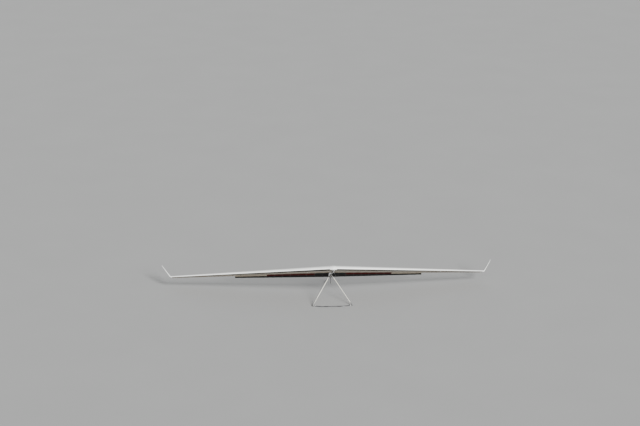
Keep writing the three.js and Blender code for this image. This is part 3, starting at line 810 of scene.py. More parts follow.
# One hinge lug along x: a round eye with its tab reaching forward
def hingeLug(radius, width, hole, reach, finish=0):
    steps = 20
    outline = [(-reach, -radius * 0.7), (-radius * 0.55, -radius * 0.8)]
    for i in range(steps + 1):
        turn = -0.62 * math.pi + 1.24 * math.pi * i / steps
        outline.append((radius * math.cos(turn), radius * math.sin(turn)))
    outline += [(-radius * 0.55, radius * 0.8), (-reach, radius * 0.1)]
    lug = plateShape(outline, width, 0.0008, finish)
    lug.add(turnedShape([(hole * 1.25, 0), (hole * 1.25, 0.0006), (hole, 0.0006)], 16, finish),
            Matrix.Translation((0, 0, width / 2)))
    # The plate's x runs aft, its y up and its thickness along the hinge
    return lug.moved(Matrix(((0, 0, 1, 0), (1, 0, 0, 0), (0, 1, 0, 0), (0, 0, 0, 1))))


makeSpars()


# Sail halves: one skin over the ribs, cut out for the flap bay and the spoiler
sailLook = {"rowsAhead": 22, "rowsAft": 8, "bayRows": 9, "sag": 0.0045, "scallop": 0.011, "cloth": 0.0008,
            "recessAft": 0.467, "recessEnd": 0.0062, "front": 0.0004, "aheadRun": 0.482}
ribCount = round(wing["tipX"] / wing["ribPitch"])
recess = spoilerPlan["start"] - sailLook["recessEnd"], spoilerPlan["end"] + sailLook["recessEnd"]
bayEnd = flapPlan["end"] + 0.006


def bayShare(x):
    return flapPlan["hingeShare"] + (flapPlan["railFront"] - sailLook["front"]) / chordAt(x)


def ribPhase(x):
    return (x / wing["ribPitch"]) % 1.0


# The cloth sinks a little between ribs, and its trailing edge is hollowed between their ends
def sailPoint(x, share, side, proud=0.0):
    phase = math.sin(math.pi * ribPhase(x)) ** 2
    here = onWing(x, share, side, proud)
    window = smoothstep(wing["sparShare"], 0.42, share) * (1 - smoothstep(0.80, 0.98, share))
    depth = sailLook["sag"] * phase * window * (0.4 + 0.6 * chordAt(x) / wing["rootChord"])
    here.z -= side * depth
    if x > flapPlan["end"]:
        here.y -= sailLook["scallop"] * math.sin(math.pi * ribPhase(x)) * smoothstep(0.86, 1.0, share)
    return here


def makeSails():
    look = sailLook
    edges = {*recess, bayEnd, wing["rootGap"]}
    xs = {round(wing["ribPitch"] * (k + i / look["bayRows"]), 5) for k in range(ribCount)
          for i in range(look["bayRows"])}
    xs = {x for x in xs if x > 0.02 and all(abs(x - edge) > 0.006 for edge in edges)}
    xs = sorted((xs | edges | {wing["tipX"]}) - {flapPlan["end"]})
    ahead = spread(0.0, 1.0, look["rowsAhead"])
    aft = spread(0.0, 1.0, look["rowsAft"])[1:]
    rowCount = len(ahead) + len(aft)
    toRecess = look["recessAft"] - wing["sparShare"]
    # The row at this mark lies along the recess
    mark = round(toRecess / look["aheadRun"] * look["rowsAhead"]) / look["rowsAhead"]

    def shareOf(x, row):
        last = bayShare(x)
        if row >= len(ahead):
            return last + aft[row - len(ahead)] * (1 - last)
        t = ahead[row]
        if t <= mark:
            return wing["sparShare"] + t / mark * toRecess
        return look["recessAft"] + (t - mark) / (1 - mark) * (last - look["recessAft"])

    sail = Shape()
    index = {}

    def vertex(side, r, i):
        key = (side, r, i)
        if key not in index:
            point = sailPoint(xs[i], shareOf(xs[i], r), side)
            point.y += look["front"] if r == 0 else 0
            index[key] = len(sail.points)
            sail.points.append(point)
        return index[key]

    for i in range(len(xs) - 1):
        middle = (xs[i] + xs[i + 1]) / 2
        inRecess = recess[0] < middle < recess[1]
        for side in (1, -1):
            for r in range(rowCount - 1):
                share = (shareOf(middle, r) + shareOf(middle, r + 1)) / 2
                inBay = r + 1 >= len(ahead) and middle < bayEnd
                if inBay or side == 1 and inRecess and share < look["recessAft"]:
                    continue
                quad = [vertex(side, row, k) for row, k in ((r, i), (r, i + 1), (r + 1, i + 1), (r + 1, i))]
                sail.addFace(quad if side == 1 else quad[::-1], 0 if side == 1 else 1)
        if middle > bayEnd:
            ends = ((1, i), (1, i + 1), (-1, i + 1), (-1, i))
            sail.addFace([vertex(side, rowCount - 1, k) for side, k in ends], 1)
    # Under the wing the white cloth is darkened to stone grey as painted shade
    pieces = emitPair("sail_skin_{side}", sail, "airframe", "sail_cloth", ("upperSail", "underSailPaintedShade"),
                      replaces=["sail_{side}"], isOpen=True)
    for piece in pieces:
        thicken(piece, look["cloth"])
    return pieces


# Cloth gets its thickness inwards
def thicken(piece, thick):
    modifier = piece.modifiers.new("cloth thickness", "SOLIDIFY")
    modifier.thickness = thick
    modifier.offset = -1


# Closing ribs at the root, at the end of the flap bay and at the tip, in laminate
def makeEndRibs():
    look = {"thick": 0.004, "under": 0.0009}
    ribs = Shape()
    for x, low, high in ((wing["rootGap"] + 0.003, wing["sparShare"] + 0.001, bayShare(0.0)),
                         (flapPlan["end"] + 0.0085, bayShare(flapPlan["end"]), 0.997),
                         (wing["tipX"] - 0.003, wing["sparShare"] + 0.002, 0.996)):
        shares = spread(low, high, 16)
        around = [(share, 1) for share in shares] + [(share, -1) for share in reversed(shares)]
        ribs.addRings([[onWing(x + offset, share, side, -look["under"]) for share, side in around]
                       for offset in (-look["thick"] / 2, look["thick"] / 2)])
    emitPair("end_ribs_{side}", ribs, "airframe", "sail_cloth", ("satinCarbon",))


# Rib tapes across the cloth and seams along it, sewn on
def makeSailTapes():
    look = {"tape": 0.026, "proud": 0.0011, "seam": 0.016, "seams": (0.325, 0.52, 0.66), "hem": 0.968,
            "from": 0.02, "to": 6.47}
    tapes = Shape()

    # at gives the point for a stop along the strip, a distance across it and a lift off the cloth
    def sewOn(stops, width, side, at):
        half = width / 2
        proud = look["proud"]
        section = (-half, 0.0002), (-half + 0.001, proud), (half - 0.001, proud), (half, 0.0002)
        rows = [[at(stop, across, lift) for across, lift in section] for stop in stops]
        tapes.addGrid([row if side == 1 else row[::-1] for row in rows], 0 if side == 1 else 1)

    def seam(share, side, start, end):
        stops = spread(start, end, max(2, int((end - start) / 0.0325)))
        sewOn(stops, look["seam"], side,
              lambda x, across, lift: sailPoint(x, share - across / chordAt(x), side, lift))

    for k in range(1, ribCount):
        x = k * wing["ribPitch"]
        last = bayShare(x) - 0.004 if x < flapPlan["end"] - 0.01 else 0.985
        place = bayEnd + 0.014 if abs(x - flapPlan["end"]) < 0.01 else x
        for side, low in ((1, 0.475 if recess[0] < x < recess[1] else 0.305), (-1, 0.305)):
            sewOn(spread(low, last, 26), look["tape"], side,
                  lambda share, across, lift: sailPoint(place + across, share, side, lift))
    for side in (1, -1):
        for share in look["seams"]:
            spans = [(look["from"], look["to"])]
            if side == 1 and share < sailLook["recessAft"]:
                spans = [(look["from"], recess[0] - 0.02), (recess[1] + 0.02, look["to"])]
            for start, end in spans:
                seam(share, side, start, end)
        seam(look["hem"], side, flapPlan["end"] + 0.03, look["to"])
    # Tapes under the wing are white tape darkened to stone grey as painted shade
    return emitPair("sail_tapes_{side}", tapes, "airframe", "sail_cloth", ("whiteTape", "underTapePaintedShade"),
                    isOpen=True)


sailPieces = makeSails()
makeEndRibs()
tapePieces = makeSailTapes()
print("sails made")


# Flaps: laminated cloth bonded over ribs, notched at the hinge lugs, on a steel rod
def makeFlaps():
    look = {"sag": 0.0022, "scallop": 0.005, "rows": 18, "noseRound": 0.005, "notch": 0.0168, "tape": 0.020,
            "crimsonFrom": 0.65, "crimsonTo": 2.60, "crimsonRows": 8, "crimsonShare": 0.885}
    start, end = flapPlan["start"], flapPlan["end"] - 0.006
    notches = notchSpans(flapPlan, flapHinge, flapHingeLength, wing["rootGap"])
    marks = sorted({*(round(k * wing["ribPitch"] / 6, 4) for k in range(1, 73)), start, end})
    stops = notchedStops([x for x in marks if start <= x <= end
                          and all(abs(x - edge) > 0.004 for span in notches for edge in span)], notches)

    def flapPoint(x, share, side):
        phase = math.sin(math.pi * ribPhase(x))
        here = onWing(x, share, side)
        here.z -= side * look["sag"] * phase ** 2 * (1 - smoothstep(0.93, 0.985, share))
        here.y -= look["scallop"] * phase * smoothstep(0.93, 1.0, share)
        return here

    def ring(x, cut):
        first = flapPlan["hingeShare"] + (look["notch"] if cut else flapPlan["nose"]) / chordAt(x)
        mark = look["crimsonShare"]
        shares = [*spread(first, mark, look["crimsonRows"]),
                  *spread(mark, 1, look["rows"] - look["crimsonRows"])[1:]]
        top, bottom = ([flapPoint(x, share, side) for share in shares] for side in (1, -1))
        corner = look["noseRound"]
        front = []
        for point, side, turns in ((top[0], 1, (15, 45, 75)), (bottom[0], -1, (75, 45, 15))):
            for turn in turns:
                angle = math.radians(turn)
                height = point.z - side * corner * (1 - math.cos(angle))
                front.append(Vector((point.x, point.y + corner * (1 - math.sin(angle)), height)))
        top[0].y += corner
        bottom[0].y += corner
        return top[::-1] + front + bottom

    # The upper face is laminate. The front of the lower face is crimson between two ribs, and outboard it is
    # white cloth darkened to stone grey as painted shade
    noseMiddle = look["rows"] + 4
    panelEnd = look["rows"] + 7 + look["crimsonRows"]

    def finish(r, c):
        middle = (stops[r][0] + stops[r + 1][0]) / 2
        if c < look["rows"]:
            return 5
        if not noseMiddle <= c < panelEnd or middle < look["crimsonFrom"]:
            return 0
        return 3 if middle < look["crimsonTo"] else 6

    flap = Shape().addRings([ring(x, cut) for x, cut in stops], finish, capFinish=0)
    radius, bevel, long = flapPlan["rod"], 0.0008, flapHingeLength - start - 0.006
    rod = turnedShape([(0.0034, 0), (radius, bevel), (radius, long - bevel), (0.0034, long)], 16, 1)
    flap.add(rod, flapHinge @ Matrix.Translation((start, 0, 0)) @ Matrix.Rotation(math.pi / 2, 4, "Y"))
    half = look["tape"] / 2
    across = (-half, 0.0002), (0.001 - half, 0.0010), (half - 0.001, 0.0010), (half, 0.0002)
    shares = [*spread(0.808, look["crimsonShare"], 5), *spread(look["crimsonShare"], 0.985, 6)[1:]]
    for k in range(1, 12):
        x = k * wing["ribPitch"]
        if inNotch(x, [(low - 0.01, high + 0.01) for low, high in notches]):
            continue
        for side in (1, -1):
            rows = [[flapPoint(x + dx, share, side) + Vector((0, 0, side * lift))
                     for dx, lift in across[::side]] for share in shares]
            # Outboard of the crimson the lower tapes take the stone grey painted shade
            front = 2 if side == 1 or x < look["crimsonFrom"] else 4 if x < look["crimsonTo"] else 7
            flap.addGrid(rows, lambda r, c: front if r < 5 else 2)
    down = flapHinge @ Matrix.Rotation(-flapPlan["down"], 4, "X") @ flapHinge.inverted()
    emitPair("flap_blade_{side}", flap.moved(down), "flap_{side}", "flap_black",
             ("flapCloth", "steel", "darkTape", "flapCrimson", "crimsonTape", "flapUpper", "underSailPaintedShade",
              "underTapePaintedShade"), replaces=["flap_{side}"])
    print("flaps made")


makeFlaps()


# Spoilers: white sandwich plates let into the top skin, each in a tray in the sail
def makeSpoilers():
    look = {"notch": 0.0128, "bevel": 0.0012, "ribs": (4.25, 4.45, 4.85, 5.05), "lip": 0.010, "lift": 0.0009}
    plan = spoilerPlan
    notches = notchSpans(plan, spoilerHinge, spoilerLength, plan["start"])
    stops = notchedStops([x for x in spread(plan["start"], plan["end"], 24)
                          if all(not low - 0.004 < x < high + 0.004 for low, high in notches)], notches)
    under = Vector((0, 0, -plan["plate"]))
    bevel = look["bevel"]

    def ring(x, cut):
        ahead = (plan["behindSpar"] + (look["notch"] if cut else -0.002)) / chordAt(x)
        top = [onWing(x, share, 1) for share in spread(wing["sparShare"] + ahead, plan["aft"], 10)]
        bottom = [point + under for point in top]
        for row in (top, bottom):
            row[0] = row[0] + Vector((0, bevel, 0))
            row[-1] = row[-1] + Vector((0, -bevel, 0))
        front = [top[0] + Vector((0, -bevel, -bevel)), bottom[0] + Vector((0, -bevel, bevel))]
        back = [bottom[-1] + Vector((0, bevel, bevel)), top[-1] + Vector((0, bevel, -bevel))]
        return top[::-1] + front + bottom + back

    spoiler = Shape().addRings([ring(x, cut) for x, cut in stops], 0)
    radius, ease = plan["rod"], 0.0006
    rod = turnedShape([(0.0025, 0), (radius, ease), (radius, spoilerLength - ease),
                       (0.0025, spoilerLength)], 14, 1)
    spoiler.add(rod, spoilerHinge @ Matrix.Rotation(math.pi / 2, 4, "Y"))
    section = (-0.005, 0.0005), (-0.003, -0.004), (0.003, -0.004), (0.005, 0.0005)
    for x in look["ribs"]:
        spoiler.addRings([[onWing(x, share, 1) + under + Vector((dx, 0, dz)) for dx, dz in section]
                          for share in spread(0.345, 0.45, 6)], 0)
    emitPair("spoiler_plate_{side}", spoiler, "spoiler_{side}", "spoiler_white", ("gelCoat", "steel"),
             replaces=["spoiler_{side}"])

    # The tray: a lip on the sail, four walls and a floor, open on top
    xs = spread(*recess, 24)
    rows = []
    for i, x in enumerate([xs[0] - look["lip"], xs[0], xs[0] + ease, *xs[1:-1], xs[-1] - ease, xs[-1],
                           xs[-1] + look["lip"]]):
        shares = spread(wing["sparShare"] + 0.0006, sailLook["recessAft"], 10)
        sunk = 0.0 if i in (0, 1, len(xs) + 2, len(xs) + 3) else plan["pocket"]
        row = [onWing(x, share, 1) + Vector((0, 0, look["lift"] - sunk)) for share in shares]
        row.append(onWing(x, shares[-1], 1) + Vector((0, ease, look["lift"])))
        row.append(onWing(x, shares[-1] + look["lip"] / chordAt(x), 1) + Vector((0, 0, look["lift"])))
        rows.append(row)
    tray = Shape()
    tray.addGrid(rows, 0)
    emitPair("spoiler_tray_{side}", tray, "airframe", "spoiler_white", ("nylon",), isOpen=True)
    print("spoilers made")


makeSpoilers()


# A curve through a table's rows that never overshoots them
def monotone(run, table, stop):
    i = next((k for k in range(len(run) - 1) if stop <= run[k + 1]), len(run) - 2)
    step = run[i + 1] - run[i]
    t = (stop - run[i]) / step

    def rate(k, column):
        return (table[k + 1][column] - table[k][column]) / (run[k + 1] - run[k])

    def slope(k, column):
        if k in (0, len(run) - 1):
            return rate(min(k, len(run) - 2), column)
        before, after = rate(k - 1, column), rate(k, column)
        return 0.0 if before * after <= 0 else 2 * before * after / (before + after)

    made = []
    for column in range(len(table[0])):
        a, b = table[i][column], table[i + 1][column]
        first, second = slope(i, column) * step, slope(i + 1, column) * step
        made.append((2 * t ** 3 - 3 * t ** 2 + 1) * a + (t ** 3 - 2 * t ** 2 + t) * first
                    + (3 * t ** 2 - 2 * t ** 3) * b + (t ** 3 - t ** 2) * second)
    return made


# Winglets: an elbow off the end rib, then a swept blade.
# A row holds how far out, aft and up it is, then its chord, thickness, twist and cant.
def makeWinglets():
    table = ((seat, 0.0, 0.0, 0.560, 0.135, 2.2, 0.0), (0.044, 0.018, 0.004, 0.536, 0.135, 2.0, 16),
             (0.078, 0.040, 0.026, 0.502, 0.13, 1.5, 38), (0.104, 0.064, 0.062, 0.468, 0.12, 0.7, 54),
             (0.404, 0.318, 0.506, 0.250, 0.10, 0.0, 56), (0.418, 0.348, 0.528, 0.205, 0.08, 0.0, 56),
             (0.424, 0.373, 0.537, 0.150, 0.05, 0.0, 56))
    tip = wing["tipX"]
    run = [0.0]
    for lower, upper in zip(table, table[1:]):
        run.append(run[-1] + math.dist(lower[:3], upper[:3]))
    elbow, blade, top = run[3], run[4], run[6]
    stops = sorted({*spread(0, elbow, 14), *spread(elbow, blade, 16), *spread(blade, top, 8)})
    around = roundNose([(i / 18) ** 1.9 for i in range(19)])
    rings = []
    for stop in stops:
        out, aft, up, chord, thick, twist, cant = monotone(run, table, stop)
        station = {"x": tip + out, "lead": tip * math.tan(wing["sweep"]) + aft, "rise": wing["tipRise"] + up,
                   "chord": chord, "thick": thick, "twist": math.radians(twist), "cant": math.radians(cant)}
        rings.append([skinPoint(station, share, side) for share, side in around])
    emitPair("winglet_skin_{side}", Shape().addRings(rings, 0), "airframe", "winglet_white", ("gelCoat",),
             replaces=["winglet_{side}"])

    # A sealing tape round the joint and three screws on each face
    look = {"tape": ((0.016, 0.0002), (0.0155, 0.0009), (0.0, 0.0010), (-0.004, 0.0009)),
            "screw": (0.0045, 0.0016), "screwIn": 0.008, "screwShares": (0.12, 0.34, 0.62)}
    joint = Shape()
    joint.addGrid([[onWing(tip - inboard, share, side, lift) for share, side in around]
                   for inboard, lift in look["tape"]], 0)
    for share in look["screwShares"]:
        for side in (1, -1):
            place = onSkin(tip - look["screwIn"], share, side, 0.0009)
            joint.add(screwShape(*look["screw"], 1), place)
    emitPair("winglet_joint_{side}", joint, "airframe", "winglet_white", ("whiteTape", "steel"), isOpen=True)
    print("winglets made")


makeWinglets()


# The run of both roots across the centreline, its nose rounded off
def acrossCentre(x, share, side, proud=0.0, soften=0.018):
    point = onWing(math.sqrt(x * x + soften * soften), share, side, proud)
    return Vector((x, point.y, point.z))


# Nose cone: a shell over the joint of the two leading edges
def makeNoseCone():
    look = {"half": 0.150, "proud": 0.0068, "edge": 0.0012, "shell": 0.0012, "rear": 0.250, "lowRear": 0.082,
            "corner": 0.022, "fade": 0.035, "screwX": 0.133}
    half, corner = look["half"], look["corner"]
    rows = []
    for x in spread(-half, half, 36):
        # The corners are rounded in plan, and both rear edges run straight across
        nearEdge = max(0.0, abs(x) - half + corner)
        ahead = corner - math.sqrt(max(0.0, corner ** 2 - nearEdge ** 2)) + abs(x) * math.tan(wing["sweep"])
        top = (look["rear"] - ahead) / chordAt(x)
        low = max(0.004, (look["lowRear"] - ahead) / chordAt(x))
        around = [(top * (1 - i / 14) ** 1.6, 1) for i in range(15)]
        around += [(low * (i / 8) ** 1.6, -1) for i in range(1, 9)]
        row = []
        for k, (share, side) in enumerate(around):
            fade = min(1.0, (half - abs(x)) / look["fade"], k / 3, (len(around) - 1 - k) / 2.5)
            proud = look["edge"] + (look["proud"] - look["edge"]) * smoothstep(0, 1, fade)
            row.append(acrossCentre(x, share, side, proud))
        rows.append(row)
    cone = Shape()
    cone.addGrid(rows, 0)
    piece = emit("nose_shell", cone, "airframe", "nose_white", ("gelCoat",), replaces=["nose_cone"],
                 isOpen=True)
    thicken(piece, look["shell"])
    screws = Shape()
    for x in (-look["screwX"], look["screwX"]):
        for share, side in ((0.098, 1), (0.040, 1), (0.012, -1)):
            place = onSkin(abs(x), share, side, 0.0020)
            place.translation.x = x
            screws.add(screwShape(0.0050, 0.0020, 0), place)
    emit("nose_screws", screws, "airframe", "nose_white", ("steel",))
    print("nose cone made")


# Centre cover: a strip of sailcloth over the gap between the halves, with sewn hook tapes
def makeCentreCover():
    look = {"half": 0.074, "from": 0.256, "cloth": 0.0009, "soften": 0.004, "hem": 0.004}
    half = look["half"]
    last = flapHingePoint(wing["rootGap"]).y + flapPlan["railFront"] - 0.008
    shares = spread(look["from"] / wing["rootChord"], last / wing["rootChord"], 40)

    # The cloth lies lowest along both hems, and it dips a little over the gap
    def proud(x):
        return 0.0022 - 0.0010 * abs(x) / half - 0.0006 * math.exp(-(x / 0.02) ** 2)

    cover = Shape()
    cover.addGrid([[acrossCentre(x, share, 1, proud(x), look["soften"])
                    for x in reversed(spread(-half, half, 16))] for share in shares], 0)
    piece = emit("centre_strip", cover, "airframe", "cover_cloth", ("upperSail",), replaces=["centre_cover"],
                 isOpen=True)
    thicken(piece, look["cloth"])
    tapes = Shape()
    across = (0.0, 0.0018), (0.001, 0.0026), (0.021, 0.0028), (0.022, 0.0020)
    for side in (-1, 1):
        hem = side * (half - look["hem"])
        tapes.addGrid([[acrossCentre(hem - side * dx, share, 1, lift, look["soften"])
                        for dx, lift in across[::side]] for share in shares[1:-1]], 0)
    hems = emit("centre_strip_tapes", tapes, "airframe", "cover_cloth", ("whiteTape",), isOpen=True)
    print("centre cover made")


makeNoseCone()
makeCentreCover()


# Places on the keel tube's axis: with z along the tube, and with x aft and y up
def onKeel(aft):
    return Matrix.Translation((0, aft, -keel["drop"])) @ Matrix.Rotation(-math.pi / 2, 4, "X")


def besideKeel(aft):
    return placed((0, 1, 0), (0, 0, 1), (1, 0, 0), (0, aft, -keel["drop"]))


def makeKeel():
    look = {"wall": 0.0022, "bevel": 0.0006, "bore": 0.045, "foot": 0.0300, "groove": 0.0287,
            "grooves": ((0.0060, 0.0096), (0.0130, 0.0166)), "domeFrom": 0.0185, "dome": 0.0315}
    long = keel["rear"] - keel["front"]
    radius, bevel = keel["radius"], look["bevel"]
    bore = radius - look["wall"]
    profile = [(bore, look["bore"]), (bore, bevel), (bore + bevel, 0), (radius - bevel, 0), (radius, bevel)]
    profile += [(radius, height) for height in spread(0.05, long - 0.05, 40)]
    profile += [(radius, long - bevel), (radius - bevel, long)]
    tube = turnedShape(profile, 48, 0)
    tube.add(turnedShape([(bore, 0.002), (bore, 0.0012), (radius - 0.006, bevel), (0.004, bevel)], 32, 1))
    emit("keel_tube_skin", tube, "airframe", "keel_carbon", ("carbon", "nylon"),
         place=flying @ onKeel(keel["front"]), replaces=["keel_tube"])

    # The foot: a rubber plug with two grooves and a round end
    radius, groove = look["foot"], look["groove"]
    foot = [(0.010, 0), (radius - 0.0015, 0), (radius, 0.0015)]
    for low, high in look["grooves"]:
        foot += [(radius, low), (groove, low + 0.0008), (groove, high - 0.0008), (radius, high)]
    foot += [(radius * math.cos(turn), look["domeFrom"] + look["dome"] * math.sin(turn))
             for turn in spread(0, 1.54, 18)]
    emit("keel_foot_rubber", turnedShape(foot, 64, 0), "airframe", "foot_rubber", ("rubber",),
         place=flying @ onKeel(keel["rear"] + seat), replaces=["keel_foot"])
    print("keel made")


# Saddles: machined blocks between keel tube and spars, with cross bolts and straps round the tube
def makeSaddles():
    look = {"half": 0.045, "bevel": 0.001, "boltX": 0.034, "boltIn": 0.022, "bolt": (0.0062, 0.0055),
            "sideScrew": (0.0075, 0.005), "strapOff": 0.0016, "strap": (0.016, 0.0014)}
    half, bevel, boltX = look["half"], look["bevel"], look["boltX"]
    low = -keel["drop"] + keel["radius"] + seat
    right = [0.005, 0.015, 0.03, half - bevel, half]
    xs = [-x for x in reversed(right)] + right

    # The block's top follows both spars and its sides narrow towards the tube
    def ring(y, inset):
        top = []
        for x in xs:
            away = max(abs(x), wing["rootGap"])
            share = max((y - away * math.tan(wing["sweep"])) / chordAt(away), 0.002)
            height = onWing(away, share, -1).z - seat - inset - (bevel if abs(x) == half else 0)
            top.append(Vector((x * (1 - inset / half), y, height)))
        side = [Vector((x - inset, y, low + up)) for x, up in ((half, 0.012), (0.036, 0.001), (0.034, inset))]
        return top + side + [Vector((-p.x, y, p.z)) for p in reversed(side)]

    for name, start, end in (("nose_saddle", 0.130, 0.230), ("spar_saddle", 0.410, 0.500)):
        ys = [start, *spread(start + bevel, end - bevel, 8), end]
        saddle = Shape().addRings([ring(y, bevel if y in (start, end) else 0.0) for y in ys], 0)
        for y in (start + look["boltIn"], end - look["boltIn"]):
            for x in (-boltX, boltX):
                shank = turnedShape([(0.0045, 0), (0.0045, 0.02)], 12, 1)
                saddle.add(shank, Matrix.Translation((x, y, low + 0.010)))
                saddle.add(screwShape(*look["bolt"], 1), Matrix.Translation((x, y, low + 0.0005))
                           @ Matrix.Rotation(math.pi, 4, "X"))
            # A steel strap from the block down round the tube
            reach = keel["radius"] + look["strapOff"]
            wrap = [Vector((reach * math.cos(turn), y, -keel["drop"] + reach * math.sin(turn)))
                    for turn in spread(math.pi, 2 * math.pi, 24)]
            path = [Vector((-reach, y, low + 0.006)), *wrap, Vector((reach, y, low + 0.006))]
            saddle.add(bandShape(path, (0, 1, 0), *look["strap"], 1))
        for side in (-1, 1):
            middle = side * (half + 0.0002), (start + end) / 2, (low - 0.05) / 2
            saddle.add(screwShape(*look["sideScrew"], 1), aimed(middle, (side, 0, 0)))
        emit(name + "_block", saddle, "airframe", "fitting_alloy", ("darkAlloy", "steel"), replaces=[name])
    print("saddles made")


makeKeel()
makeSaddles()


# Hang clamp: a split ring on the keel tube with two ears and the bolt that the strap hangs on
def makeHangClamp():
    look = {"ring": 0.034, "width": 0.026, "ear": 0.008, "earOut": 0.032, "screw": (0.0042, 0.004),
            "screwAside": 0.009}
    bolt = {"drop": 0.050, "radius": 0.006, "half": 0.036, "thread": 0.0048, "grip": 0.073}
    clamp = ringShape(look["ring"], keel["radius"] + seat, look["width"], 0.0016, 48).moved(onKeel(hangAft))
    outline = [(-0.013, -0.050), (-0.0075, -0.0615), (0.0075, -0.0615), (0.013, -0.050), (0.013, 0.0),
               (-0.013, 0.0)]
    ear = plateShape(roundedOutline(outline, 0.005, 4), look["ear"], 0.001)
    for side in (-1, 1):
        clamp.add(ear, besideKeel(hangAft) @ Matrix.Translation((0, 0, side * look["earOut"])))
    across = aimed((0, hangAft, -keel["drop"] - bolt["drop"]), (1, 0, 0))
    clamp.add(turnedShape([(bolt["radius"], -bolt["half"]), (bolt["radius"], bolt["half"])], 24, 1), across)
    clamp.add(boltShape(bolt["thread"], bolt["grip"], 1), across)
    for aside in (-look["screwAside"], look["screwAside"]):
        place = Matrix.Translation((0, hangAft + aside, -keel["drop"] + look["ring"] - 0.0005))
        clamp.add(screwShape(*look["screw"], 1), place)
    emit("hang_clamp_ring", clamp, "airframe", "fitting_alloy", ("darkAlloy", "steel"),
         replaces=["hang_clamp"])


# Hang strap: a long loop of webbing, hanging plumb from its bolt
def makeHangStrap():
    look = {"length": 0.300, "width": 0.040, "thick": 0.0036, "reach": 0.0087, "stitch": 0.004}
    reach = look["reach"]
    path = []
    for centre, start, side in ((0.0, 0.0, -1), (-look["length"], math.pi, 1)):
        path += [Vector((0, reach * math.cos(turn), centre + reach * math.sin(turn)))
                 for turn in spread(start, start + math.pi, 12)]
        path += [Vector((0, side * reach, centre + side * look["length"] * i / 20)) for i in range(1, 20)]
    strap = bandShape(path, (1, 0, 0), look["width"], look["thick"], 0, closed=True)

    # The overlap is sewn in a box with a cross
    front = reach + look["thick"] / 2 + 0.0002
    a, b, c, d = (Vector((x, 0, z)) for z in (-0.09, -0.20) for x in (-0.014, 0.014))
    for start, end in ((a, c), (b, d), (a, b), (c, d), (a, d), (b, c)):
        count = max(3, int((end - start).length / look["stitch"]))
        for i in range(count):
            first, last = (start.lerp(end, (i + share) / count) for share in (0.15, 0.85))
            first.y = last.y = front
            strap.add(tubeShape([first, (first + last) / 2 + Vector((0, 0.0004, 0)), last], 0.0005, 5, 1))
    emit("hang_strap_webbing", strap, "hang_strap", "webbing", ("webbing", "whiteTape"),
         place=Matrix.Translation(joints["hang_strap_hinge"]["pos_m"]), replaces=["hang_strap"])
    print("hang clamp and strap made")


makeHangClamp()
makeHangStrap()


# Control frame, drawn in its own leaning plane: x sideways, z up along the frame
uprightPlan = {"top": Vector((0.080, 0, -0.078)), "corner": Vector((0.800, 0, -1.325)), "chord": 0.058,
               "thick": 0.024, "tab": 0.060}
barEnd = {"x": uprightPlan["corner"].x - 0.046, "drop": 1.323}
stayPin = uprightPlan["corner"] + Vector((0.004, 0, 0.006))
cornerDirection = (uprightPlan["corner"] - uprightPlan["top"]).normalized()
acrossUpright = Vector((-cornerDirection.z, 0, cornerDirection.x))
inFramePlane = Matrix(((1, 0, 0, 0), (0, 0, -1, 0), (0, 1, 0, 0), (0, 0, 0, 1)))  # outline y becomes z


def makeYoke():
    look = {"half": 0.030, "thick": 0.034, "ring": 0.036, "ringWidth": 0.056, "bolt": 0.0040,
            "boltsDown": (0.020, 0.046)}
    half, top = look["half"], uprightPlan["top"]
    outer, inner = top + acrossUpright * half, top - acrossUpright * half
    right = [(0.040, -0.020), (outer.x, outer.z), (inner.x, inner.z)]
    outline = roundedOutline([*right, (0, -0.080), *((-x, z) for x, z in reversed(right))], 0.007, 4)
    yoke = plateShape(outline, look["thick"], 0.002).moved(inFramePlane)
    level = Matrix.Rotation(frameLean, 4, "X") @ Matrix.Rotation(-math.pi / 2, 4, "X")
    yoke.add(ringShape(look["ring"], keel["radius"] + running, look["ringWidth"], 0.002, 56), level)
    for side in (-1, 1):
        for along in look["boltsDown"]:
            at = Vector((side * (top.x - cornerDirection.x * along), 0, top.z - cornerDirection.z * along))
            yoke.add(boltShape(look["bolt"], look["thick"], 1), aimed(at, (0, -1, 0)))
    emit("yoke_block", yoke, "control_frame", "fitting_alloy", ("darkAlloy", "steel"), place=leaning,
         replaces=["yoke"])


# Uprights: faired tubes with a round nose and a fine tail, a socket at each end
def makeUprights():
    look = {"sides": 36, "fine": 0.28, "bevel": 0.0008, "topSocket": 0.055, "footSocket": 0.070,
            "proud": 0.0016}
    chord, thick = uprightPlan["chord"], uprightPlan["thick"]
    top = uprightPlan["top"] + cornerDirection * seat
    foot = uprightPlan["corner"] - cornerDirection * (uprightPlan["tab"] + seat)
    long = (foot - top).length
    aft = Vector((0, 1, 0))
    side = aft.cross(cornerDirection)

    def section(along, grow=0.0):
        points = []
        for i in range(look["sides"]):
            turn = 2 * math.pi * i / look["sides"]
            back = -math.cos(turn)
            wide = math.sin(turn) * (1 - look["fine"] * max(0.0, back) ** 2)
            points.append(top + cornerDirection * along + aft * back * (chord / 2 + grow)
                          + side * wide * (thick / 2 + grow))
        return points

    bevel, proud = look["bevel"], look["proud"]
    stops = [0, bevel, *spread(0.02, long - 0.02, 24), long - bevel, long]
    upright = Shape().addRings([section(stop, -bevel if stop in (0, long) else 0) for stop in stops], 0)
    for start, end in ((0.0, look["topSocket"]), (long - look["footSocket"], long)):
        socket = ((start, 0.0), (start, 0.0010), (start + 0.002, proud), (end - 0.003, proud), (end, 0.0010),
                  (end, 0.0))
        upright.addRings([section(along, grow) for along, grow in socket], 1)
        for share in (0.3, 0.7):
            at = top + cornerDirection * (start + (end - start) * share)
            for out in (-side, side):
                upright.add(screwShape(0.0040, 0.0025, 2), aimed(at + out * (thick / 2 + 0.0012), out))
    emitPair("upright_fairing_{side}", upright, "control_frame", "upright_grey",
             ("tubePaint", "alloy", "steel"), place=leaning, replaces=["upright_{side}"])


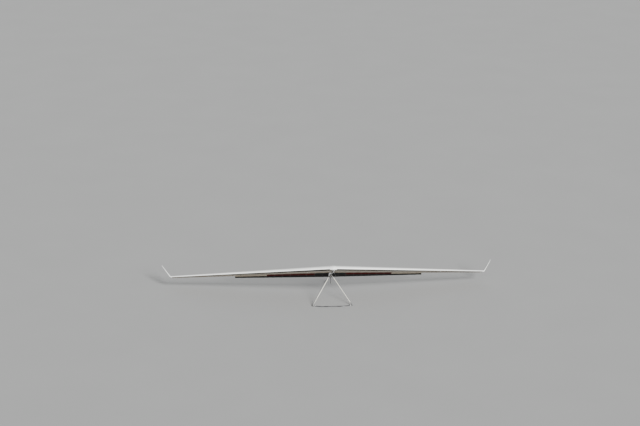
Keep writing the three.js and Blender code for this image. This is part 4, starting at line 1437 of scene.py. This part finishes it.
# Corners: a block that holds the upright's foot, the end of the base bar and both stays
def makeCorners():
    look = {"half": 0.024, "thick": 0.030, "bolt": 0.0040, "upBolt": 0.044, "barBolt": (-0.026, 0, 0.001),
            "collarAt": 0.0235}
    corner = uprightPlan["corner"]
    head = corner - cornerDirection * uprightPlan["tab"]
    outer, inner = head + acrossUpright * look["half"], head - acrossUpright * look["half"]
    outline = [(outer.x, outer.z), (inner.x, inner.z), (barEnd["x"], -barEnd["drop"] + 0.022),
               (barEnd["x"], -barEnd["drop"] - 0.020)]
    outline += [(corner.x + dx, corner.z + dz)
                for dx, dz in ((-0.008, -0.024), (0.020, -0.012), (0.027, 0.014))]
    block = plateShape(roundedOutline(outline, 0.006, 4), look["thick"], 0.0022).moved(inFramePlane)
    for place in (corner - cornerDirection * look["upBolt"], corner + Vector(look["barBolt"])):
        block.add(boltShape(look["bolt"], look["thick"], 1), aimed(place, (0, -1, 0)))
    # The stays' pin, with a collar at each end
    pin = [(0.0030, -0.0285), (0.0036, -0.0275), (0.0036, 0.0275), (0.0030, 0.0285)]
    collar = [(0.0075, 0.0), (0.0080, 0.0005), (0.0080, 0.0016), (0.0072, 0.0022), (0.0036, 0.0024)]
    block.add(turnedShape(pin, 16, 1), aimed(stayPin, (0, 1, 0)))
    for side in (-1, 1):
        place = stayPin + Vector((0, side * look["collarAt"], 0))
        block.add(turnedShape(collar, 20, 1), aimed(place, (0, side, 0)))
    emitPair("corner_block_{side}", block, "control_frame", "fitting_alloy", ("darkAlloy", "steel"),
             place=leaning, replaces=["corner_{side}"])


def makeBaseBar():
    look = {"radius": 0.0150, "gripAt": 0.27, "gripHalf": 0.085, "gripProud": 0.0022, "rings": 17,
            "ringProud": 0.0006, "ferrule": 0.034, "ferruleProud": 0.0016}
    half = [(barEnd["x"] - seat, 0, barEnd["drop"]), (barEnd["x"] - 0.039, 0.006, barEnd["drop"] + 0.006),
            (0.600, 0.034, 1.355), (0.460, 0.058, 1.379), (0.214, 0.064, 1.385)]
    points = [Vector((x, -forward, -drop)) for x, forward, drop in half]
    path = smoothPath([*points, *(Vector((-p.x, p.y, p.z)) for p in reversed(points))], 12)
    bar = tubeShape(path, look["radius"], 28, 0)
    run = runOf(path)
    total = run[-1]

    def stretch(start, end, count):
        made = []
        for wanted in spread(start, end, count):
            k = next(i for i in range(1, len(run)) if run[i] >= wanted - 1e-9)
            made.append(path[k - 1].lerp(path[k], (wanted - run[k - 1]) / (run[k] - run[k - 1])))
        return made

    # Grips: rubber sleeves with rings, where the hands go
    def grip(t):
        rings = look["ringProud"] * (0.5 + 0.5 * math.cos(2 * math.pi * t * look["rings"]))
        return look["radius"] + look["gripProud"] * smoothstep(0, 0.02, min(t, 1 - t)) + rings

    def ferrule(t):
        return look["radius"] + look["ferruleProud"] * smoothstep(0, 0.08, min(t, 1 - t))

    for middle in (total / 2 - look["gripAt"], total / 2 + look["gripAt"]):
        bar.add(tubeShape(stretch(middle - look["gripHalf"], middle + look["gripHalf"], 90), grip, 28, 1))
    for start, end in ((0.0, look["ferrule"]), (total - look["ferrule"], total)):
        bar.add(tubeShape(stretch(start, end, 12), ferrule, 32, 2))
    emit("base_bar_tube", bar, "control_frame", "base_bar_carbon", ("satinCarbon", "rubber", "alloy"),
         place=leaning, replaces=["base_bar"])
    print("control frame made")


# Flap control line on one upright: a cord from a grommet down to a cam cleat, with a knob on its tail
def makeFlapLine():
    look = {"grommet": 0.105, "cleat": 1.130, "tail": 1.235, "lift": 0.0100, "cord": 0.0016, "screws": 0.0150}
    inward = -acrossUpright

    def at(along, lift=look["lift"]):
        return uprightPlan["top"] + cornerDirection * along + inward * (uprightPlan["thick"] / 2 + lift)

    def standing(along, lift):
        return placed(cornerDirection, inward.cross(cornerDirection), inward, at(along, lift))

    start = look["grommet"]
    path = smoothPath([at(start, -0.004), at(start + 0.016, 0.0035), at(start + 0.045), at(0.45), at(0.80),
                       at(look["cleat"]), at(look["tail"])], 14)
    emit("flap_line_cord", tubeShape(path, look["cord"], 12, 0), "control_frame", "stay_wire", ("cordCover",),
         place=leaning, mirrored=True)
    fittings = ringShape(0.0085, 0.0034, 0.0030, 0.0008, 28, 1).moved(standing(start + 0.006, 0.0004))
    base = plateShape(roundedOutline(box2d(0.046, 0.019), 0.006), 0.0056, 0.001, 1)
    fittings.add(base, standing(look["cleat"], 0.0022))
    jaw = [(-0.011, 0.0016), (0.012, 0.0016), (0.006, 0.0085), (-0.007, 0.0085)]
    for side in (-1, 1):
        cheek = plateShape(roundedOutline([(x, side * y) for x, y in jaw], 0.002, 3), 0.0082, 0.0008, 2)
        fittings.add(cheek, standing(look["cleat"], 0.0090))
        fittings.add(screwShape(0.0030, 0.0018, 0), standing(look["cleat"] + side * look["screws"], 0.0050)
                     @ Matrix.Translation((0, 0.0058, 0)))
    knob = [(0.0018, -0.016), (0.0060, -0.013), (0.0085, -0.005), (0.0088, 0.002), (0.0070, 0.009),
            (0.0020, 0.0115)]
    fittings.add(turnedShape(knob, 24, 3), aimed(at(look["tail"]), cornerDirection))
    emit("flap_line_fittings", fittings, "control_frame", "fitting_alloy",
         ("steel", "nylon", "darkAlloy", "rubber"), place=leaning, mirrored=True)
    print("flap line made")


makeYoke()
makeUprights()
makeCorners()
makeBaseBar()
makeFlapLine()


# Stays: stranded cable with a swaged sleeve and a thimble at each end
def makeStays():
    look = {"radius": 0.0025, "lay": 0.034, "step": 0.0045, "neck": 0.030, "ferrule": 0.032, "eye": 0.0085,
            "wire": 0.0020, "cableFrom": 0.045, "hook": 0.0215, "pinOut": 0.0135, "sleeve": 0.030}
    toFrame = leaning.inverted() @ flying
    sideways = toFrame.to_3x3() @ Vector((1, 0, 0))
    for name, aft, out in (("front", frontTangAft, -look["hook"]), ("rear", rearTangAft, look["hook"])):
        low = stayPin + Vector((0, out, 0))
        high = toFrame @ Vector((look["pinOut"], aft, -keel["drop"] - tangPinDrop))
        along = (high - low).normalized()
        start, end = low + along * look["cableFrom"], high - along * look["cableFrom"]
        count = int((end - start).length / look["step"])
        path = [start.lerp(end, i / count) for i in range(count + 1)]
        stay = tubeShape(path, look["radius"], 18, 0, lobes=6, twist=2 * math.pi / look["lay"], groove=0.12)
        for pin, sign, axis in ((low, 1, Vector((0, 1, 0))), (high, -1, sideways)):
            direction = along * sign
            across = axis.cross(direction).normalized()
            loop = [pin - direction * look["eye"] * math.cos(turn) + across * look["eye"] * math.sin(turn)
                    for turn in spread(-0.78 * math.pi, 0.78 * math.pi, 24)]
            neck = pin + direction * look["neck"]
            thimble = [neck - across * 0.0012, *loop, neck + across * 0.0012]
            stay.add(tubeShape(thimble, look["wire"], 10, 0))
            body = [neck + direction * s for s in spread(0, look["ferrule"], 10)]
            stay.add(tubeShape(body, lambda t: 0.0044 + 0.0006 * smoothstep(0, 0.12, min(t, 1 - t)), 16, 1))
            sleeve = [neck + direction * (look["ferrule"] + s) for s in spread(0, look["sleeve"], 8)]
            stay.add(tubeShape(sleeve, lambda t: 0.0036 - 0.0008 * t, 14, 2))
        emitPair(name + "_stay_cable_{side}", stay, "control_frame", "stay_wire", ("cable", "steel", "nylon"),
                 place=leaning, replaces=[name + "_stay_{side}"], sharp=75)
    print("stays made")


# Tangs: rings on the keel tube, each with an ear and the pin that both stays hook on
def makeTangs():
    look = {"ring": 0.032, "width": 0.024, "ear": 0.016, "bolt": 0.0034, "grip": 0.036}
    half = look["grip"] / 2
    ear = roundedOutline([(-0.012, -0.052), (0.012, -0.052), (0.012, -0.029), (-0.012, -0.029)], 0.004, 4)
    for name, aft in (("front_tang", frontTangAft), ("rear_tang", rearTangAft)):
        tang = ringShape(look["ring"], keel["radius"] + running, look["width"], 0.0016, 48).moved(onKeel(aft))
        tang.add(plateShape(ear, look["ear"], 0.0012), besideKeel(aft))
        pin = aimed((0, aft, -keel["drop"] - tangPinDrop), (1, 0, 0))
        tang.add(boltShape(look["bolt"], look["grip"], 1), pin)
        tang.add(turnedShape([(look["bolt"], -half), (look["bolt"], half)], 14, 1), pin)
        emit(name + "_ring", tang, "control_frame", "fitting_alloy", ("darkAlloy", "steel"), replaces=[name])
    print("tangs made")


makeStays()
makeTangs()


# CAD pieces that stay as they are get their own finish
def finishKeptNodes():
    for side in ("left", "right"):
        materials = frame["nodes"][f"flap_rail_{side}"].data.materials
        materials.clear()
        materials.append(finishes["satinCarbon"])


finishKeptNodes()


# Floor and lights
def makeStudio():
    studio = {"reach": 260, "sun": 8.5, "sunSize": 20, "sunFrom": (0.32, -0.82, 0.50),
              "sky": (0.80, 0.83, 0.86), "skyStrength": 0.45}
    reach = studio["reach"]
    mesh = bpy.data.meshes.new("studio_floor")
    mesh.from_pydata([(-reach, -reach, 0), (reach, -reach, 0), (reach, reach, 0), (-reach, reach, 0)], [],
                     [(0, 1, 2, 3)])
    mesh.materials.append(finishes["floor"])
    floor = bpy.data.objects.new("studio_floor", mesh)
    bpy.context.scene.collection.objects.link(floor)
    sun = bpy.data.lights.new("key", "SUN")
    sun.energy = studio["sun"]
    sun.angle = math.radians(studio["sunSize"])
    lamp = bpy.data.objects.new("key", sun)
    lamp.rotation_euler = Vector(studio["sunFrom"]).to_track_quat("Z", "Y").to_euler()
    bpy.context.scene.collection.objects.link(lamp)
    world = bpy.data.worlds.new("studio")
    world.use_nodes = True
    sky = world.node_tree.nodes["Background"].inputs
    sky["Color"].default_value = (*studio["sky"], 1)
    sky["Strength"].default_value = studio["skyStrength"]
    bpy.context.scene.world = world
    print("studio ready")


makeStudio()
